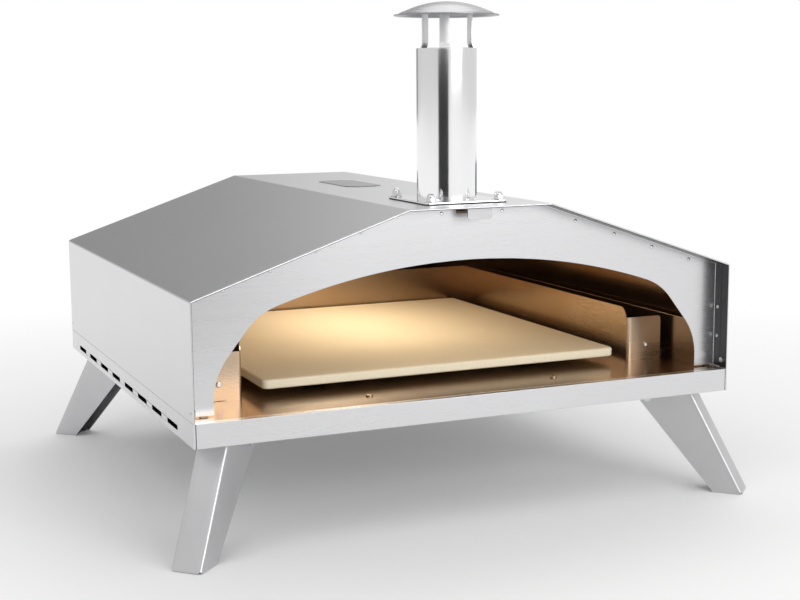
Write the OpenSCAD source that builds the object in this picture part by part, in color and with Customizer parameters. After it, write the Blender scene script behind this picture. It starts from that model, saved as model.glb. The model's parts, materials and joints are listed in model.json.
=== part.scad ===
// Wood fired pizza oven.
// A double-walled stainless shell stands on a slotted base and four folding legs.
// Inside are a baking stone, a fire trough on three sides and a flue with a sliding damper.
// Frame: +X right, +Y back, +Z up, origin on the ground below the middle of the oven.

/* [Body] */
// Width over the outer shell
body_w = 600; // [580:1:730]
// Depth over the outer shell
body_d = 570; // [560:1:700]
// Height of the oven's underside above the ground
stand_h = 112; // [95:1:135]
// Height of the slotted base band
band_h = 24; // [20:0.5:30]
// Top of the side walls above the underside
eave_h = 139; // [130:1:168]
// Flat part of the roof above the underside
roof_h = 214; // [206:1:260]
// Width of the flat part of the roof
roof_flat_w = 158; // [130:1:190]
// Sheet thickness of the shell and its end panels
sheet_t = 1; // [0.8:0.1:1.5]
// Depth of the folded hem at both ends of the shell
hem_d = 11; // [8:0.5:11.5]
// Setback of the front panel behind the shell's front edge
front_recess = 23; // [18:0.5:28]
// Setback of the rear panel inside the shell's rear edge
rear_recess = 12; // [12:0.5:18]

/* [Base] */
// Sheet thickness of the base pan
pan_t = 1.2; // [0.8:0.1:2]
// Depth of the lip turned in along the front of the base pan
lip_d = 8; // [6:0.5:12]
// Sheet thickness of the floor plate
floor_t = 1.2; // [0.8:0.1:2]
// Air slots along each side of the base
slot_n = 8; // [4:1:9]
// Distance between the middles of two air slots
slot_pitch = 61.2; // [50:0.1:64]
// Middle of the first air slot behind the front edge
slot_first = 77; // [60:1:90]
// Length of one air slot
slot_l = 40; // [25:1:46]
// Height of one air slot
slot_h = 5; // [4.5:0.1:7]
// Height of the slots' middle above the underside
slot_z = 8.3; // [7:0.1:11]
// Width of the channels that carry the floor
stiffener_w = 24; // [18:1:30]
// Distance of those channels' middles from the front and rear edges
stiffener_y = 42; // [36:1:60]
// Half the distance between the two floor screws of a channel
floor_screw_x = 106; // [60:1:180]

/* [Mouth] */
// Width of the arched mouth
arch_w = 546; // [480:1:552]
// Top of the arch above the underside
arch_top = 159; // [150:0.5:170]
// Radius of the wide upper arc
crown_r = 667; // [600:1:800]
// Angle that the upper arc covers each side of the middle
crown_a = 18.2; // [16:0.1:19]
// Radius of the arch's shoulders and of its lower corners
shoulder_r = 66; // [50:1:68]
// Angle at which the straight shoulder falls
shoulder_a = 52; // [45:1:58]

/* [Lining] */
// Distance from the shell's outer face to the inner liner
wall_gap = 12; // [11:0.5:14]
// Sheet thickness of the inner liner
liner_t = 0.8; // [0.6:0.1:1.2]
// Thickness of the insulation behind the rear liner
rear_gap = 11; // [9:0.5:14]
// Width of the flanges at both ends of the liner
liner_flange = 7; // [6:0.5:8]

/* [Fire] */
// Sheet thickness of the baffles, shields and grates
fire_t = 1; // [0.8:0.1:1.5]
// Height of the baffles above the floor
baffle_h = 60; // [45:1:64]
// Height of the end caps above the floor
cap_h = 49; // [38:1:50]
// Height of the side and rear shields above the floor
shield_h = 50; // [40:1:56]
// Radius of the bend between a baffle and its end cap
bend_r = 4; // [2.5:0.5:6]
// Distance of the end caps behind the front edge
cap_y = 84; // [78:1:95]
// Distance from the shell's outer face to a side shield
shield_gap = 22; // [20:0.5:24]
// Height of the grates above the floor
grate_h = 8; // [6:0.5:10]
// Distance between the slots of a grate
grate_pitch = 20; // [16:1:30]

/* [Baking stone] */
// Width of the stone
stone_w = 410; // [330:1:415]
// Depth of the stone
stone_d = 410; // [330:1:412]
// Thickness of the stone
stone_t = 10; // [8:1:14]
// Corner radius of the stone
stone_r = 6; // [3:1:12]
// Front edge of the stone behind the shell's front edge
stone_y = 80; // [74:1:84]
// Underside of the stone above the floor
stone_lift = 8; // [6:0.5:10]
// Clearance between the stone and the baffles beside it
stone_side_gap = 20.5; // [8:0.5:22]
// Clearance between the stone and the baffle behind it
stone_rear_gap = 7; // [4:0.5:10]
// Half the distance between the two stone rails
rail_x = 130; // [80:1:140]

/* [Flue] */
// Outer diameter of the flue pipe
flue_d = 62; // [50:0.5:64]
// Wall of the flue pipe
flue_wall = 1; // [0.8:0.1:1.5]
// Length of the flue pipe
flue_l = 155; // [120:1:190]
// Middle of the flue behind the front edge
flue_y = 82; // [81:0.5:90]
// Width of the flange plate
flange_w = 92; // [90:1:110]
// Depth of the flange plate
flange_d = 99; // [97:1:112]
// Thickness of the flange plate
flange_t = 1.5; // [1:0.1:2.5]
// Thickness of the gasket below it
gasket_t = 1; // [0.6:0.1:2]
// Half the distance between the flange bolts from side to side
bolt_x = 38; // [37.8:0.1:40]
// Half the distance between the flange bolts from front to back
bolt_y = 43; // [41:0.5:45]
// Diameter of the rain cap over its rim
cap_d = 108; // [96:1:124]
// Diameter of the domed part of the cap
dome_d = 90; // [80:1:94]
// Rise of the dome above its own edge
dome_rise = 10.5; // [7:0.5:16]
// Rise of the sloping brim
brim_rise = 3.5; // [2:0.5:5]
// Height of the cap's rim above the top of the pipe
cap_lift = 33; // [25:1:45]
// Width of a cap strut
strut_w = 10; // [7:0.5:11]
// Thickness of a cap strut
strut_t = 1.5; // [1:0.1:2]

/* [Damper] */
// Thickness of the sliding damper
damper_t = 1.2; // [1:0.1:1.4]
// Width of the pull tab
tab_w = 27; // [20:1:34]
// Height of the pull tab
tab_h = 11; // [8:0.5:14]
// Middle of the pull tab behind the front edge at rest
tab_y = 6; // [4:0.5:8]
// Travel of the damper
damper_travel = 65; // [62:1:66]
// Clearance around the sliding damper
slide_gap = 0.3; // [0.2:0.05:0.5]

/* [Legs] */
// Width of a leg across its web
leg_w = 32; // [26:1:38]
// Sheet thickness of a leg
leg_t = 1.5; // [1.2:0.1:2]
// Outward lean of a leg
leg_splay = 28; // [20:0.5:30]
// Depth of a leg's flanges at the ground
foot_w = 32; // [26:1:38]
// Setback of a leg's web from the corner, along each side
leg_setback = 26; // [20:1:34]
// Distance from the web's top edge to the hinge pin
pin_inset = 47; // [40:1:52]
// Depth of the hinge pin below the underside
pin_drop = 10; // [9.5:0.1:11]
// Diameter of the hinge pin
pin_d = 6; // [5:0.1:6.5]
// Radial clearance of the leg on its pin
pin_fit = 0.05; // [0.02:0.01:0.1]
// Clearance between the bracket and the leg's flanges
ear_gap = 0.3; // [0.2:0.05:0.5]

/* [Hidden] */
$fn = 48;

// Colours
steel = [0.78, 0.79, 0.80];
bright_steel = [0.90, 0.91, 0.92];
dark_steel = [0.45, 0.45, 0.46];
tinted_steel = [0.56, 0.38, 0.22];
stone_beige = [0.86, 0.76, 0.58];
blanket_white = [0.88, 0.87, 0.82];
black = [0.08, 0.08, 0.08];

half_w = body_w / 2;
flat_half = roof_flat_w / 2;
slope_a = atan2(roof_h - eave_h, half_w - flat_half);
panel_y = front_recess + sheet_t;          // back face of the front panel
rear_y = body_d - rear_recess - sheet_t;   // inner face of the rear panel
rear_liner_y = rear_y - rear_gap - liner_t;
liner_inset = wall_gap + liner_t;

// Small parts shared by several pieces
seam = 0.5;            // open seam between two sheets that nearly meet
panel_foot = 1.5;      // open seam below the front panel
lay = 0.2;             // slack around the blankets
rivet_r = 1.2;
rivet_head_r = 2;
rivet_head_h = 0.8;
rivet_fit = 0.05;
screw_r = 2;
screw_head_r = 3.8;
screw_head_h = 2;
screw_fit = 0.1;

// Fire trough
baffle_x = stone_w / 2 + stone_side_gap;
rear_baffle_y = stone_y + stone_d + stone_rear_gap;
shield_x = half_w - shield_gap;
rear_shield_y = rear_liner_y - 9;
end_cap_x = shield_x - 9;
cap_tab_x = end_cap_x - 19;
cap_tab_half = 5;
cap_screw_h = 17;      // screw of an end cap above the floor
foot_flange = 10;      // width of the screwed flanges along the baffles
shield_flange = 7;
grate_t = 1.2;
flange_end = 20;       // a baffle beyond each end of its screwed flange
rail_half = 10;        // half the width of a stone rail
rail_setback = 50;     // rails behind the stone's front edge
rail_end = 12;         // rails before the stone's rear edge
air_hole_half = [6, 15];

// Flue and damper
flue_r = flue_d / 2;
flue_bore_r = flue_r - flue_wall;
throat_r = flue_bore_r;
damper_top = roof_h - 2 * sheet_t - 0.4;   // just below the hem and the panel's flange
damper_z = damper_top - damper_t;
damper_half = flue_bore_r + 1.5;
lip_reach = 3;         // how far a guide's lip reaches below the damper
guide_t = 1.2;
guide_flange = 14;
guide_lip_z = damper_z - slide_gap - guide_t;
guide_y0 = panel_y + 6;
closed_y = flue_y - flue_bore_r - 1;       // damper's leading edge when shut
damper_l = 2 * flue_bore_r + 7;
damper_y = closed_y + damper_travel;
guide_y1 = damper_y + damper_l + 4;
neck_window = 8;       // half width of the opening through the damper's neck
notch_half = tab_w / 2 + 4.5;
notch_drop = 7;
bolt_r = 2.5;
bolt_fit = 0.1;
flange_z = roof_h + gasket_t;
pipe_top = flange_z + flue_l;
rim_z = pipe_top + cap_lift;
dome_edge_z = rim_z + brim_rise;
dome_r = (pow(dome_d / 2, 2) + pow(dome_rise, 2)) / (2 * dome_rise);
apex_z = dome_edge_z + dome_rise;
cap_t = 1;
badge_y = 355;         // middle of the badge behind the front edge
strut_foot = 14;       // length of a strut inside the pipe
strut_in = 2;          // inward joggle of a strut above the pipe

// Legs, in a frame with u outward along the corner's diagonal and w up
pin_r = pin_d / 2;
pin_u = -pin_inset;
foot_u = stand_h * tan(leg_splay);
leg_gap = 0.5;         // between a leg's top edge and the base
knuckle_r = pin_drop - leg_gap; // a leg turns on its pin without reaching the base
relief_r = 1.8;        // reliefs at the ends of a leg's bends
relief_h = 2.5;
ear_r = 8.5;
ear_t = 1.5;
pin_head_r = 5;
pin_head_h = 2;
bracket_front = 16;    // bracket plate outward of the pin
bracket_back = 22;     // bracket plate inward of the pin
bracket_screw_u = [pin_u - 15, pin_u + 11];

// Outline of the body, set in by a distance all round and open at the foot
function house(inset, foot) =
    let (x1 = half_w - inset,
         z1 = eave_h - inset * tan((90 - slope_a) / 2),
         x2 = flat_half - inset * tan(slope_a / 2),
         z2 = roof_h - inset)
    [[-x1, foot], [-x1, z1], [-x2, z2], [x2, z2], [x1, z1], [x1, foot]];

// Height of the roof at x, set in square to its face
function roof_at(x, inset) =
    abs(x) < flat_half ? roof_h - inset
    : roof_h - (abs(x) - flat_half) * tan(slope_a) - inset / cos(slope_a);

function arc(cx, cz, r, a0, a1, n) =
    [for (i = [0:n]) let (a = a0 + (a1 - a0) * i / n) [cx + r * sin(a), cz + r * cos(a)]];

// Right half of the mouth: crown arc, shoulder arc, straight shoulder, lower arc, jamb
function arch_half() =
    let (c1 = arch_top - crown_r,
         c2 = [(crown_r - shoulder_r) * sin(crown_a), c1 + (crown_r - shoulder_r) * cos(crown_a)],
         p2 = c2 + shoulder_r * [sin(shoulder_a), cos(shoulder_a)],
         c3x = arch_w / 2 - shoulder_r,
         p3x = c3x + shoulder_r * sin(shoulder_a),
         p3z = p2[1] - (p3x - p2[0]) * tan(shoulder_a),
         c3z = p3z - shoulder_r * cos(shoulder_a))
    concat(arc(0, c1, crown_r, 0, crown_a, 10),
           arc(c2[0], c2[1], shoulder_r, crown_a, shoulder_a, 6),
           arc(c3x, c3z, shoulder_r, shoulder_a, 90, 6),
           [[arch_w / 2, band_h - 1]]);

function mirrored(pts) = [for (i = [len(pts) - 1:-1:1]) [-pts[i][0], pts[i][1]]];

// Rivets along the roof line of an end panel: one near the middle, four down the slope
rivet_xs = concat([34], [for (i = [0:3])
    flat_half + 41 + i * (half_w - 38 - flat_half - 41) / 3]);
rivet_inset = liner_inset - liner_flange + 1.7;

// Everything but the legs is drawn with y from the front edge and z from the underside
module oven() {
    translate([0, -body_d / 2, stand_h]) children();
}

// An x-z drawing carried from y0 to y1
module upright(y0, y1) {
    translate([0, y1, 0]) rotate([90, 0, 0]) linear_extrude(y1 - y0) children();
}

// A y-z drawing carried from x0 to x1
module across(x0, x1) {
    translate([x0, 0, 0]) rotate([90, 0, 90]) linear_extrude(x1 - x0) children();
}

module sleeve(inset, t, foot, y0, y1) {
    upright(y0, y1) difference() {
        polygon(house(inset, foot));
        polygon(house(inset + t, foot - 1));
    }
}

module box(x0, x1, y0, y1, z0, z1) {
    translate([x0, y0, z0]) cube([x1 - x0, y1 - y0, z1 - z0]);
}

module rod(r, z0, z1) {
    translate([0, 0, z0]) cylinder(r = r, h = z1 - z0);
}

module rounded_plate(w, d, r) {
    union() {
        square([w - 2 * r, d], center = true);
        square([w, d - 2 * r], center = true);
        for (sx = [-1, 1], sy = [-1, 1])
            translate([sx * (w / 2 - r), sy * (d / 2 - r)]) circle(r);
    }
}

module flange_bolt_places() {
    for (sx = [-1, 1], sy = [-1, 1])
        translate([sx * bolt_x, flue_y + sy * bolt_y, 0]) children();
}

module roof_rivet_places() {
    for (s = [-1, 1], x = rivet_xs)
        translate([s * x, 0, roof_at(x, rivet_inset)]) children();
}

module floor_screw_places() {
    for (sx = [-1, 1], y = [stiffener_y, body_d - stiffener_y])
        translate([sx * floor_screw_x, y, 0]) children();
}

// Rivets through the panels' side flanges, drawn with their axis along the inward x
module side_rivet_places() {
    for (s = [0, 1], y = [front_recess - 5.5, rear_y - 5], dz = [34, 66])
        mirror([s, 0, 0]) translate([half_w, y, band_h + dz]) rotate([0, -90, 0]) children();
}

module edge_screw_places() {
    for (s = [0, 1], y = [hem_d - 4, body_d - hem_d + 4])
        mirror([s, 0, 0]) translate([half_w, y, band_h + 9]) rotate([0, -90, 0]) children();
}

module base_pan() oven() color(steel) difference() {
    union() {
        difference() {
            box(-half_w, half_w, 0, body_d, 0, band_h);
            box(-half_w + pan_t, half_w - pan_t, pan_t, body_d - pan_t, pan_t, band_h + 1);
        }
        box(-half_w, half_w, 0, lip_d, band_h - pan_t, band_h);
    }
    for (i = [0:slot_n - 1]) translate([0, slot_first + i * slot_pitch, slot_z]) {
        end_y = (slot_l - slot_h) / 2;
        box(-half_w - 1, half_w + 1, -end_y, end_y, -slot_h / 2, slot_h / 2);
        for (s = [-1, 1])
            translate([0, s * end_y, 0]) rotate([0, 90, 0])
                cylinder(r = slot_h / 2, h = body_w + 2, center = true);
    }
    bracket_screw_places() rod(screw_r + screw_fit, -1, pan_t + 1);
}

module floor_plate() oven() color(tinted_steel) difference() {
    box(-half_w + pan_t + lay, half_w - pan_t - lay,
        lip_d + seam, body_d - pan_t - lay, band_h - floor_t, band_h);
    floor_screw_places() rod(screw_r + screw_fit, 0, band_h + 1);
    // air holes below the grates
    for (s = [-1, 1], i = [0:slot_n - 2])
        translate([s * (baffle_x + shield_x + foot_flange) / 2, slot_first + (i + 0.5) * slot_pitch, 0])
            box(-air_hole_half.x, air_hole_half.x, -air_hole_half.y, air_hole_half.y, 0, band_h + 1);
    // slots for the end caps' tabs
    for (s = [-1, 1]) translate([s * cap_tab_x, cap_y, 0])
        box(-cap_tab_half - 2, cap_tab_half + 2, -1.5, fire_t + 0.3, 0, band_h + 1);
}

module stiffener(y) {
    top = band_h - floor_t;
    oven() color(steel) difference() {
        across(-half_w + 90, half_w - 90) translate([y, 0]) difference() {
            translate([-stiffener_w / 2, pan_t]) square([stiffener_w, top - pan_t]);
            translate([-stiffener_w / 2 + pan_t, pan_t - 1])
                square([stiffener_w - 2 * pan_t, top - 2 * pan_t + 1]);
        }
        floor_screw_places() rod(screw_r + screw_fit, 0, band_h + 1);
    }
}
module front_stiffener() stiffener(stiffener_y);
module rear_stiffener() stiffener(body_d - stiffener_y);

module outer_shell() oven() color(steel) difference() {
    union() {
        sleeve(0, sheet_t, band_h, 0, body_d);
        for (y = [0, body_d - hem_d])
            sleeve(sheet_t, sheet_t, band_h, y, y + hem_d);
    }
    translate([0, flue_y, 0]) rod(throat_r, roof_h - 5, roof_h + 1);
    flange_bolt_places() rod(bolt_r + bolt_fit, roof_h - 5, roof_h + 1);
    side_rivet_places() rod(rivet_r + rivet_fit, -1, 3);
    edge_screw_places() rod(rivet_r + rivet_fit, -1, 3);
}

module front_panel() oven() color(steel) difference() {
    union() {
        upright(front_recess, panel_y) difference() {
            polygon(house(sheet_t, band_h + panel_foot));
            polygon(concat(mirrored(arch_half()), arch_half()));
        }
        sleeve(sheet_t, sheet_t, band_h, hem_d + seam, front_recess);
    }
    // notch that lets the damper's neck through
    box(-notch_half, notch_half, front_recess - 1, panel_y + 1,
        roof_h - 2 * sheet_t - notch_drop, roof_h - 2 * sheet_t);
    roof_rivet_places() rotate([-90, 0, 0]) rod(rivet_r + rivet_fit, 0, panel_y + 1);
    side_rivet_places() rod(rivet_r + rivet_fit, -1, 3);
}

module rear_panel() oven() color(steel) difference() {
    union() {
        upright(rear_y, rear_y + sheet_t) polygon(house(sheet_t, band_h));
        sleeve(sheet_t, sheet_t, band_h, rear_y - 10, rear_y);
    }
    roof_rivet_places() rotate([-90, 0, 0]) rod(rivet_r + rivet_fit, rear_y - 2, body_d);
    side_rivet_places() rod(rivet_r + rivet_fit, -1, 3);
}

module inner_liner() oven() color(tinted_steel) difference() {
    union() {
        sleeve(wall_gap, liner_t, band_h, panel_y, rear_y);
        for (y = [panel_y, rear_y - liner_t])
            sleeve(liner_inset - liner_flange, liner_flange, band_h, y, y + liner_t);
    }
    translate([0, flue_y, 0]) rod(throat_r, roof_h - 20, roof_h);
    roof_rivet_places() rotate([-90, 0, 0]) rod(rivet_r + rivet_fit, 0, body_d);
}

module rear_liner() oven() color(tinted_steel)
    upright(rear_liner_y, rear_liner_y + liner_t) polygon(house(liner_inset + lay, band_h));

module insulation_blanket() oven() color(blanket_white) difference() {
    sleeve(2 * sheet_t + lay, wall_gap - 2 * sheet_t - 2 * lay, band_h + lay,
           panel_y + liner_t + lay, rear_y - liner_t - lay);
    // pocket for the damper and its guides
    box(-damper_half - guide_flange - 2, damper_half + guide_flange + 2,
        panel_y, guide_y1 + 6, roof_h - wall_gap - 1, roof_h);
    side_rivet_places() rod(rivet_head_r + lay, 0, 2 * sheet_t + rivet_head_h + lay);
}

module rear_insulation() oven() color(blanket_white)
    upright(rear_liner_y + liner_t + lay, rear_y - lay)
        polygon(house(liner_inset + 2 * lay, band_h + lay));

module side_shield() oven() color(tinted_steel) union() {
    box(shield_x, shield_x + fire_t, panel_y + 1, rear_shield_y - lay, band_h, band_h + shield_h);
    box(shield_x, shield_x + fire_t + shield_flange, panel_y + 1, rear_shield_y - lay,
        band_h, band_h + fire_t);
}
module right_side_shield() side_shield();
module left_side_shield() mirror([1, 0, 0]) side_shield();

module rear_shield() oven() color(tinted_steel) union() {
    box(-shield_x, shield_x, rear_shield_y, rear_shield_y + fire_t, band_h, band_h + shield_h);
    box(-shield_x, shield_x, rear_shield_y, rear_shield_y + shield_flange, band_h, band_h + fire_t);
}

// Screws along the foot of the right baffle, and one in its end cap
module baffle_screw_places() {
    for (t = [0.1, 0.5, 0.9])
        translate([baffle_x + fire_t + foot_flange / 2, cap_y + flange_end + t * (rear_baffle_y - cap_y - 2 * flange_end), 0])
            children();
}

module cap_screw_place() {
    translate([cap_tab_x, cap_y, band_h + cap_screw_h]) rotate([90, 0, 0]) children();
}

module side_baffle() oven() color(tinted_steel) difference() {
    union() {
        box(baffle_x, baffle_x + fire_t, cap_y + bend_r, rear_baffle_y, band_h, band_h + baffle_h);
        box(baffle_x, baffle_x + fire_t + foot_flange, cap_y + flange_end, rear_baffle_y - flange_end,
            band_h, band_h + fire_t);
        // rounded bend into the end cap
        translate([baffle_x + bend_r, cap_y + bend_r, band_h]) intersection() {
            difference() {
                cylinder(r = bend_r, h = cap_h);
                translate([0, 0, -1]) cylinder(r = bend_r - fire_t, h = cap_h + 2);
            }
            translate([-bend_r, -bend_r, 0]) cube([bend_r, bend_r, cap_h]);
        }
        box(baffle_x + bend_r, end_cap_x, cap_y, cap_y + fire_t, band_h, band_h + cap_h);
        // tab down through the floor
        box(cap_tab_x - cap_tab_half, cap_tab_x + cap_tab_half, cap_y, cap_y + fire_t,
            band_h - floor_t - 1, band_h + 1);
    }
    baffle_screw_places() rod(screw_r + screw_fit, band_h - 1, band_h + fire_t + 1);
    cap_screw_place() rod(rivet_r + rivet_fit, -3, 2);
}
module right_baffle() side_baffle();
module left_baffle() mirror([1, 0, 0]) side_baffle();

module rear_baffle() oven() color(tinted_steel) union() {
    box(-baffle_x - fire_t, baffle_x + fire_t, rear_baffle_y, rear_baffle_y + fire_t,
        band_h, band_h + baffle_h);
    box(-baffle_x + flange_end, baffle_x - flange_end, rear_baffle_y, rear_baffle_y + foot_flange,
        band_h, band_h + fire_t);
}

// A slotted plate on two turned-down edges, its length along y
module grate(w, l) {
    n = floor((l - 10) / grate_pitch);
    color(dark_steel) difference() {
        box(-w / 2, w / 2, 0, l, 0, grate_h);
        box(-w / 2 + grate_t, w / 2 - grate_t, -1, l + 1, -1, grate_h - grate_t);
        for (i = [0:n - 1]) translate([0, l / 2 + (i - (n - 1) / 2) * grate_pitch, 0])
            box(-w / 2 + 7, w / 2 - 7, -2.5, 2.5, 0, grate_h + 1);
    }
}

grate_x0 = baffle_x + fire_t + foot_flange + 1;
grate_x1 = shield_x - 1;
rear_grate_y = rear_baffle_y + foot_flange + 1;
module side_grate() oven()
    translate([(grate_x0 + grate_x1) / 2, cap_y + 8, band_h])
        grate(grate_x1 - grate_x0, rear_grate_y - 2 - cap_y - 8);
module right_fuel_grate() side_grate();
module left_fuel_grate() mirror([1, 0, 0]) side_grate();

module rear_fuel_grate() oven()
    translate([-shield_x + 2, (rear_grate_y + rear_shield_y - 1) / 2, band_h]) rotate([0, 0, -90])
        grate(rear_shield_y - 1 - rear_grate_y, 2 * shield_x - 4);

module pizza_stone() oven() color(stone_beige)
    translate([0, stone_y + stone_d / 2, band_h + stone_lift])
        linear_extrude(stone_t) rounded_plate(stone_w, stone_d, stone_r);

module stone_rail() oven() color(dark_steel) difference() {
    box(rail_x - rail_half, rail_x + rail_half, stone_y + rail_setback, stone_y + stone_d - rail_end,
        band_h, band_h + stone_lift - slide_gap);
    box(rail_x - rail_half + fire_t, rail_x + rail_half - fire_t, stone_y, stone_y + stone_d,
        band_h - 1, band_h + stone_lift - slide_gap - fire_t);
}
module right_stone_rail() stone_rail();
module left_stone_rail() mirror([1, 0, 0]) stone_rail();

module flue_collar() oven() color(dark_steel) translate([0, flue_y, 0]) difference() {
    union() {
        rod(throat_r + 1, roof_h - wall_gap, guide_lip_z - slide_gap);
        rod(throat_r + 9, roof_h - wall_gap, roof_h - wall_gap + 1);
    }
    rod(throat_r, roof_h - wall_gap - 1, roof_h);
}

module damper_guide() oven() color(steel) difference() {
    upright(guide_y0, guide_y1) {
        top = roof_h - sheet_t;
        web = damper_half + slide_gap;
        translate([web, top - guide_t]) square([guide_flange, guide_t]);
        translate([web, guide_lip_z]) square([guide_t, top - guide_lip_z]);
        translate([web - lip_reach, guide_lip_z]) square([lip_reach + guide_t, guide_t]);
    }
    flange_bolt_places() rod(bolt_r + bolt_fit, roof_h - 8, roof_h);
}
module right_damper_guide() damper_guide();
module left_damper_guide() mirror([1, 0, 0]) damper_guide();

module damper_plate() oven() color(steel) union() {
    tab_r = 3;
    box(-damper_half, damper_half, damper_y, damper_y + damper_l, damper_z, damper_top);
    difference() {
        box(-tab_w / 2, tab_w / 2, tab_y - damper_t / 2, damper_y, damper_z, damper_top);
        box(-neck_window, neck_window, flue_y - flue_bore_r, damper_y - 4, damper_z - 1, damper_top + 1);
    }
    // pull tab, turned down at the front
    upright(tab_y - damper_t / 2, tab_y + damper_t / 2) {
        translate([-tab_w / 2, damper_top - tab_h + tab_r]) square([tab_w, tab_h - tab_r]);
        translate([-tab_w / 2 + tab_r, damper_top - tab_h]) square([tab_w - 2 * tab_r, tab_h]);
        for (s = [-1, 1])
            translate([s * (tab_w / 2 - tab_r), damper_top - tab_h + tab_r]) circle(tab_r);
    }
}

module flue_gasket() oven() color(black) difference() {
    translate([0, flue_y, roof_h]) linear_extrude(gasket_t) square([flange_w - 3, flange_d - 3], center = true);
    translate([0, flue_y, 0]) rod(throat_r, roof_h - 1, roof_h + gasket_t + 1);
    flange_bolt_places() rod(bolt_r + bolt_fit, roof_h - 1, roof_h + gasket_t + 1);
}

module flue_flange() oven() color(bright_steel) difference() {
    translate([0, flue_y, flange_z]) linear_extrude(flange_t) rounded_plate(flange_w, flange_d, 4);
    translate([0, flue_y, 0]) rod(flue_r + rivet_fit, roof_h, flange_z + flange_t + 1);
    flange_bolt_places() rod(bolt_r + bolt_fit, roof_h, flange_z + flange_t + 1);
}

module flue_pipe() oven() color(bright_steel) translate([0, flue_y, 0]) difference() {
    rod(flue_r, flange_z, pipe_top);
    rod(flue_bore_r, flange_z - 1, pipe_top + 1);
}

// Underside of the dome at radius r
function dome_under(r) = apex_z - dome_r + sqrt(dome_r * dome_r - r * r) - cap_t;

module cap_strut(a) {
    corner = sqrt(flue_bore_r * flue_bore_r - strut_w * strut_w / 4);
    foot_r = corner - 0.08;
    top_r = foot_r - strut_in;
    top = dome_under(sqrt(top_r * top_r + strut_w * strut_w / 4));
    oven() color(steel) translate([0, flue_y, 0]) rotate([0, 0, a])
        upright(-strut_w / 2, strut_w / 2) polygon([
            [foot_r, pipe_top - strut_foot], [foot_r, pipe_top + 0.5],
            [top_r, pipe_top + 5], [top_r, top], [top_r - 9, top],
            [top_r - 9, top - strut_t], [top_r - strut_t, top - strut_t],
            [top_r - strut_t, pipe_top + 4.5], [foot_r - strut_t, pipe_top],
            [foot_r - strut_t, pipe_top - strut_foot]]);
}
module cap_strut_right() cap_strut(0);
module cap_strut_rear() cap_strut(120);
module cap_strut_front() cap_strut(240);

module flue_cap() {
    n = 10;
    edge = dome_d / 2;
    top = [for (i = [0:n]) let (r = edge * i / n)
        [r, apex_z - dome_r + sqrt(dome_r * dome_r - r * r)]];
    outer = concat(top, [[cap_d / 2, rim_z + 0.4 * cap_t]]);
    inner = [for (i = [len(outer) - 1:-1:0]) [outer[i][0], outer[i][1] - cap_t]];
    oven() color(steel) translate([0, flue_y, 0]) rotate_extrude($fn = 96) polygon(concat(outer, inner));
}

// Stud from below the guides, washer and domed nut above the flange
module flange_bolts() oven() color(steel) flange_bolt_places() {
    top = flange_z + flange_t;
    guide_under = roof_h - sheet_t - guide_t;
    union() {
        rod(bolt_r + 1.5, guide_under - 2, guide_under);
        rod(bolt_r, guide_under - 2, top + 2);
        rod(6, top, top + 1);
        translate([0, 0, top + 1]) cylinder(r = 5.2, h = 4, $fn = 6);
        translate([0, 0, top + 5]) intersection() {
            sphere(r = 4.3);
            rod(5, 0, 5);
        }
    }
}

// Blank badge with cut corners
module name_plate() oven() color(black) translate([0, badge_y, roof_h]) {
    w = 23;
    l = 56;
    c = 12;
    linear_extrude(0.6) polygon([
        [-w, -l + c], [-w + c, -l], [w - c, -l], [w, -l + c],
        [w, l - c], [w - c, l], [-w + c, l], [-w, l - c]]);
}

// Rivet along +z: shank through a stack, low round head on the far side
module rivet(stack) {
    rod(rivet_r, 0, stack);
    rod(rivet_head_r, stack, stack + rivet_head_h);
}

module front_rivets() oven() color(steel) roof_rivet_places()
    translate([0, panel_y + liner_t, 0]) rotate([90, 0, 0]) rivet(sheet_t + liner_t);

module rear_rivets() oven() color(steel) roof_rivet_places()
    translate([0, rear_y - liner_t, 0]) rotate([-90, 0, 0]) rivet(sheet_t + liner_t);

module side_rivets() oven() color(steel) side_rivet_places() rivet(2 * sheet_t);

module edge_screws() oven() color(steel) edge_screw_places() {
    rod(rivet_r, 0, 2 * sheet_t);
    translate([0, 0, 2 * sheet_t]) cylinder(r = 3.2, h = 2, $fn = 6);
}

module pan_screw(top, length) {
    rod(screw_r, top - length, top);
    rod(screw_head_r, top, top + screw_head_h);
}

module floor_screws() oven() color(steel) floor_screw_places() pan_screw(band_h, 6);

module baffle_screws() oven() color(steel) for (s = [0, 1]) mirror([s, 0, 0]) {
    baffle_screw_places() pan_screw(band_h + fire_t, fire_t);
    cap_screw_place() {
        rod(rivet_r, -fire_t, 0);
        rod(3, 0, 1.8);
    }
}

// Places a leg's own frame at a corner: origin below the web's top edge
module corner(sx, sy) {
    translate([sx * (half_w - leg_setback), sy * (body_d / 2 - leg_setback), stand_h])
        rotate([0, 0, atan2(sy, sx)]) children();
}

module all_corners() {
    for (sx = [-1, 1], sy = [-1, 1]) corner(sx, sy) children();
}

// Screw places of the brackets, in the same frame as the base pan
module bracket_screw_places() {
    translate([0, body_d / 2, -stand_h]) all_corners()
        for (u = bracket_screw_u) translate([u, 0, 0]) children();
}

module leg_side() {
    hull() {
        translate([pin_u, -pin_drop]) circle(r = knuckle_r, $fn = 32);
        polygon([[0, -leg_gap], [pin_u, -leg_gap],
                 [foot_u - foot_w, -stand_h], [foot_u, -stand_h]]);
    }
}

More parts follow.
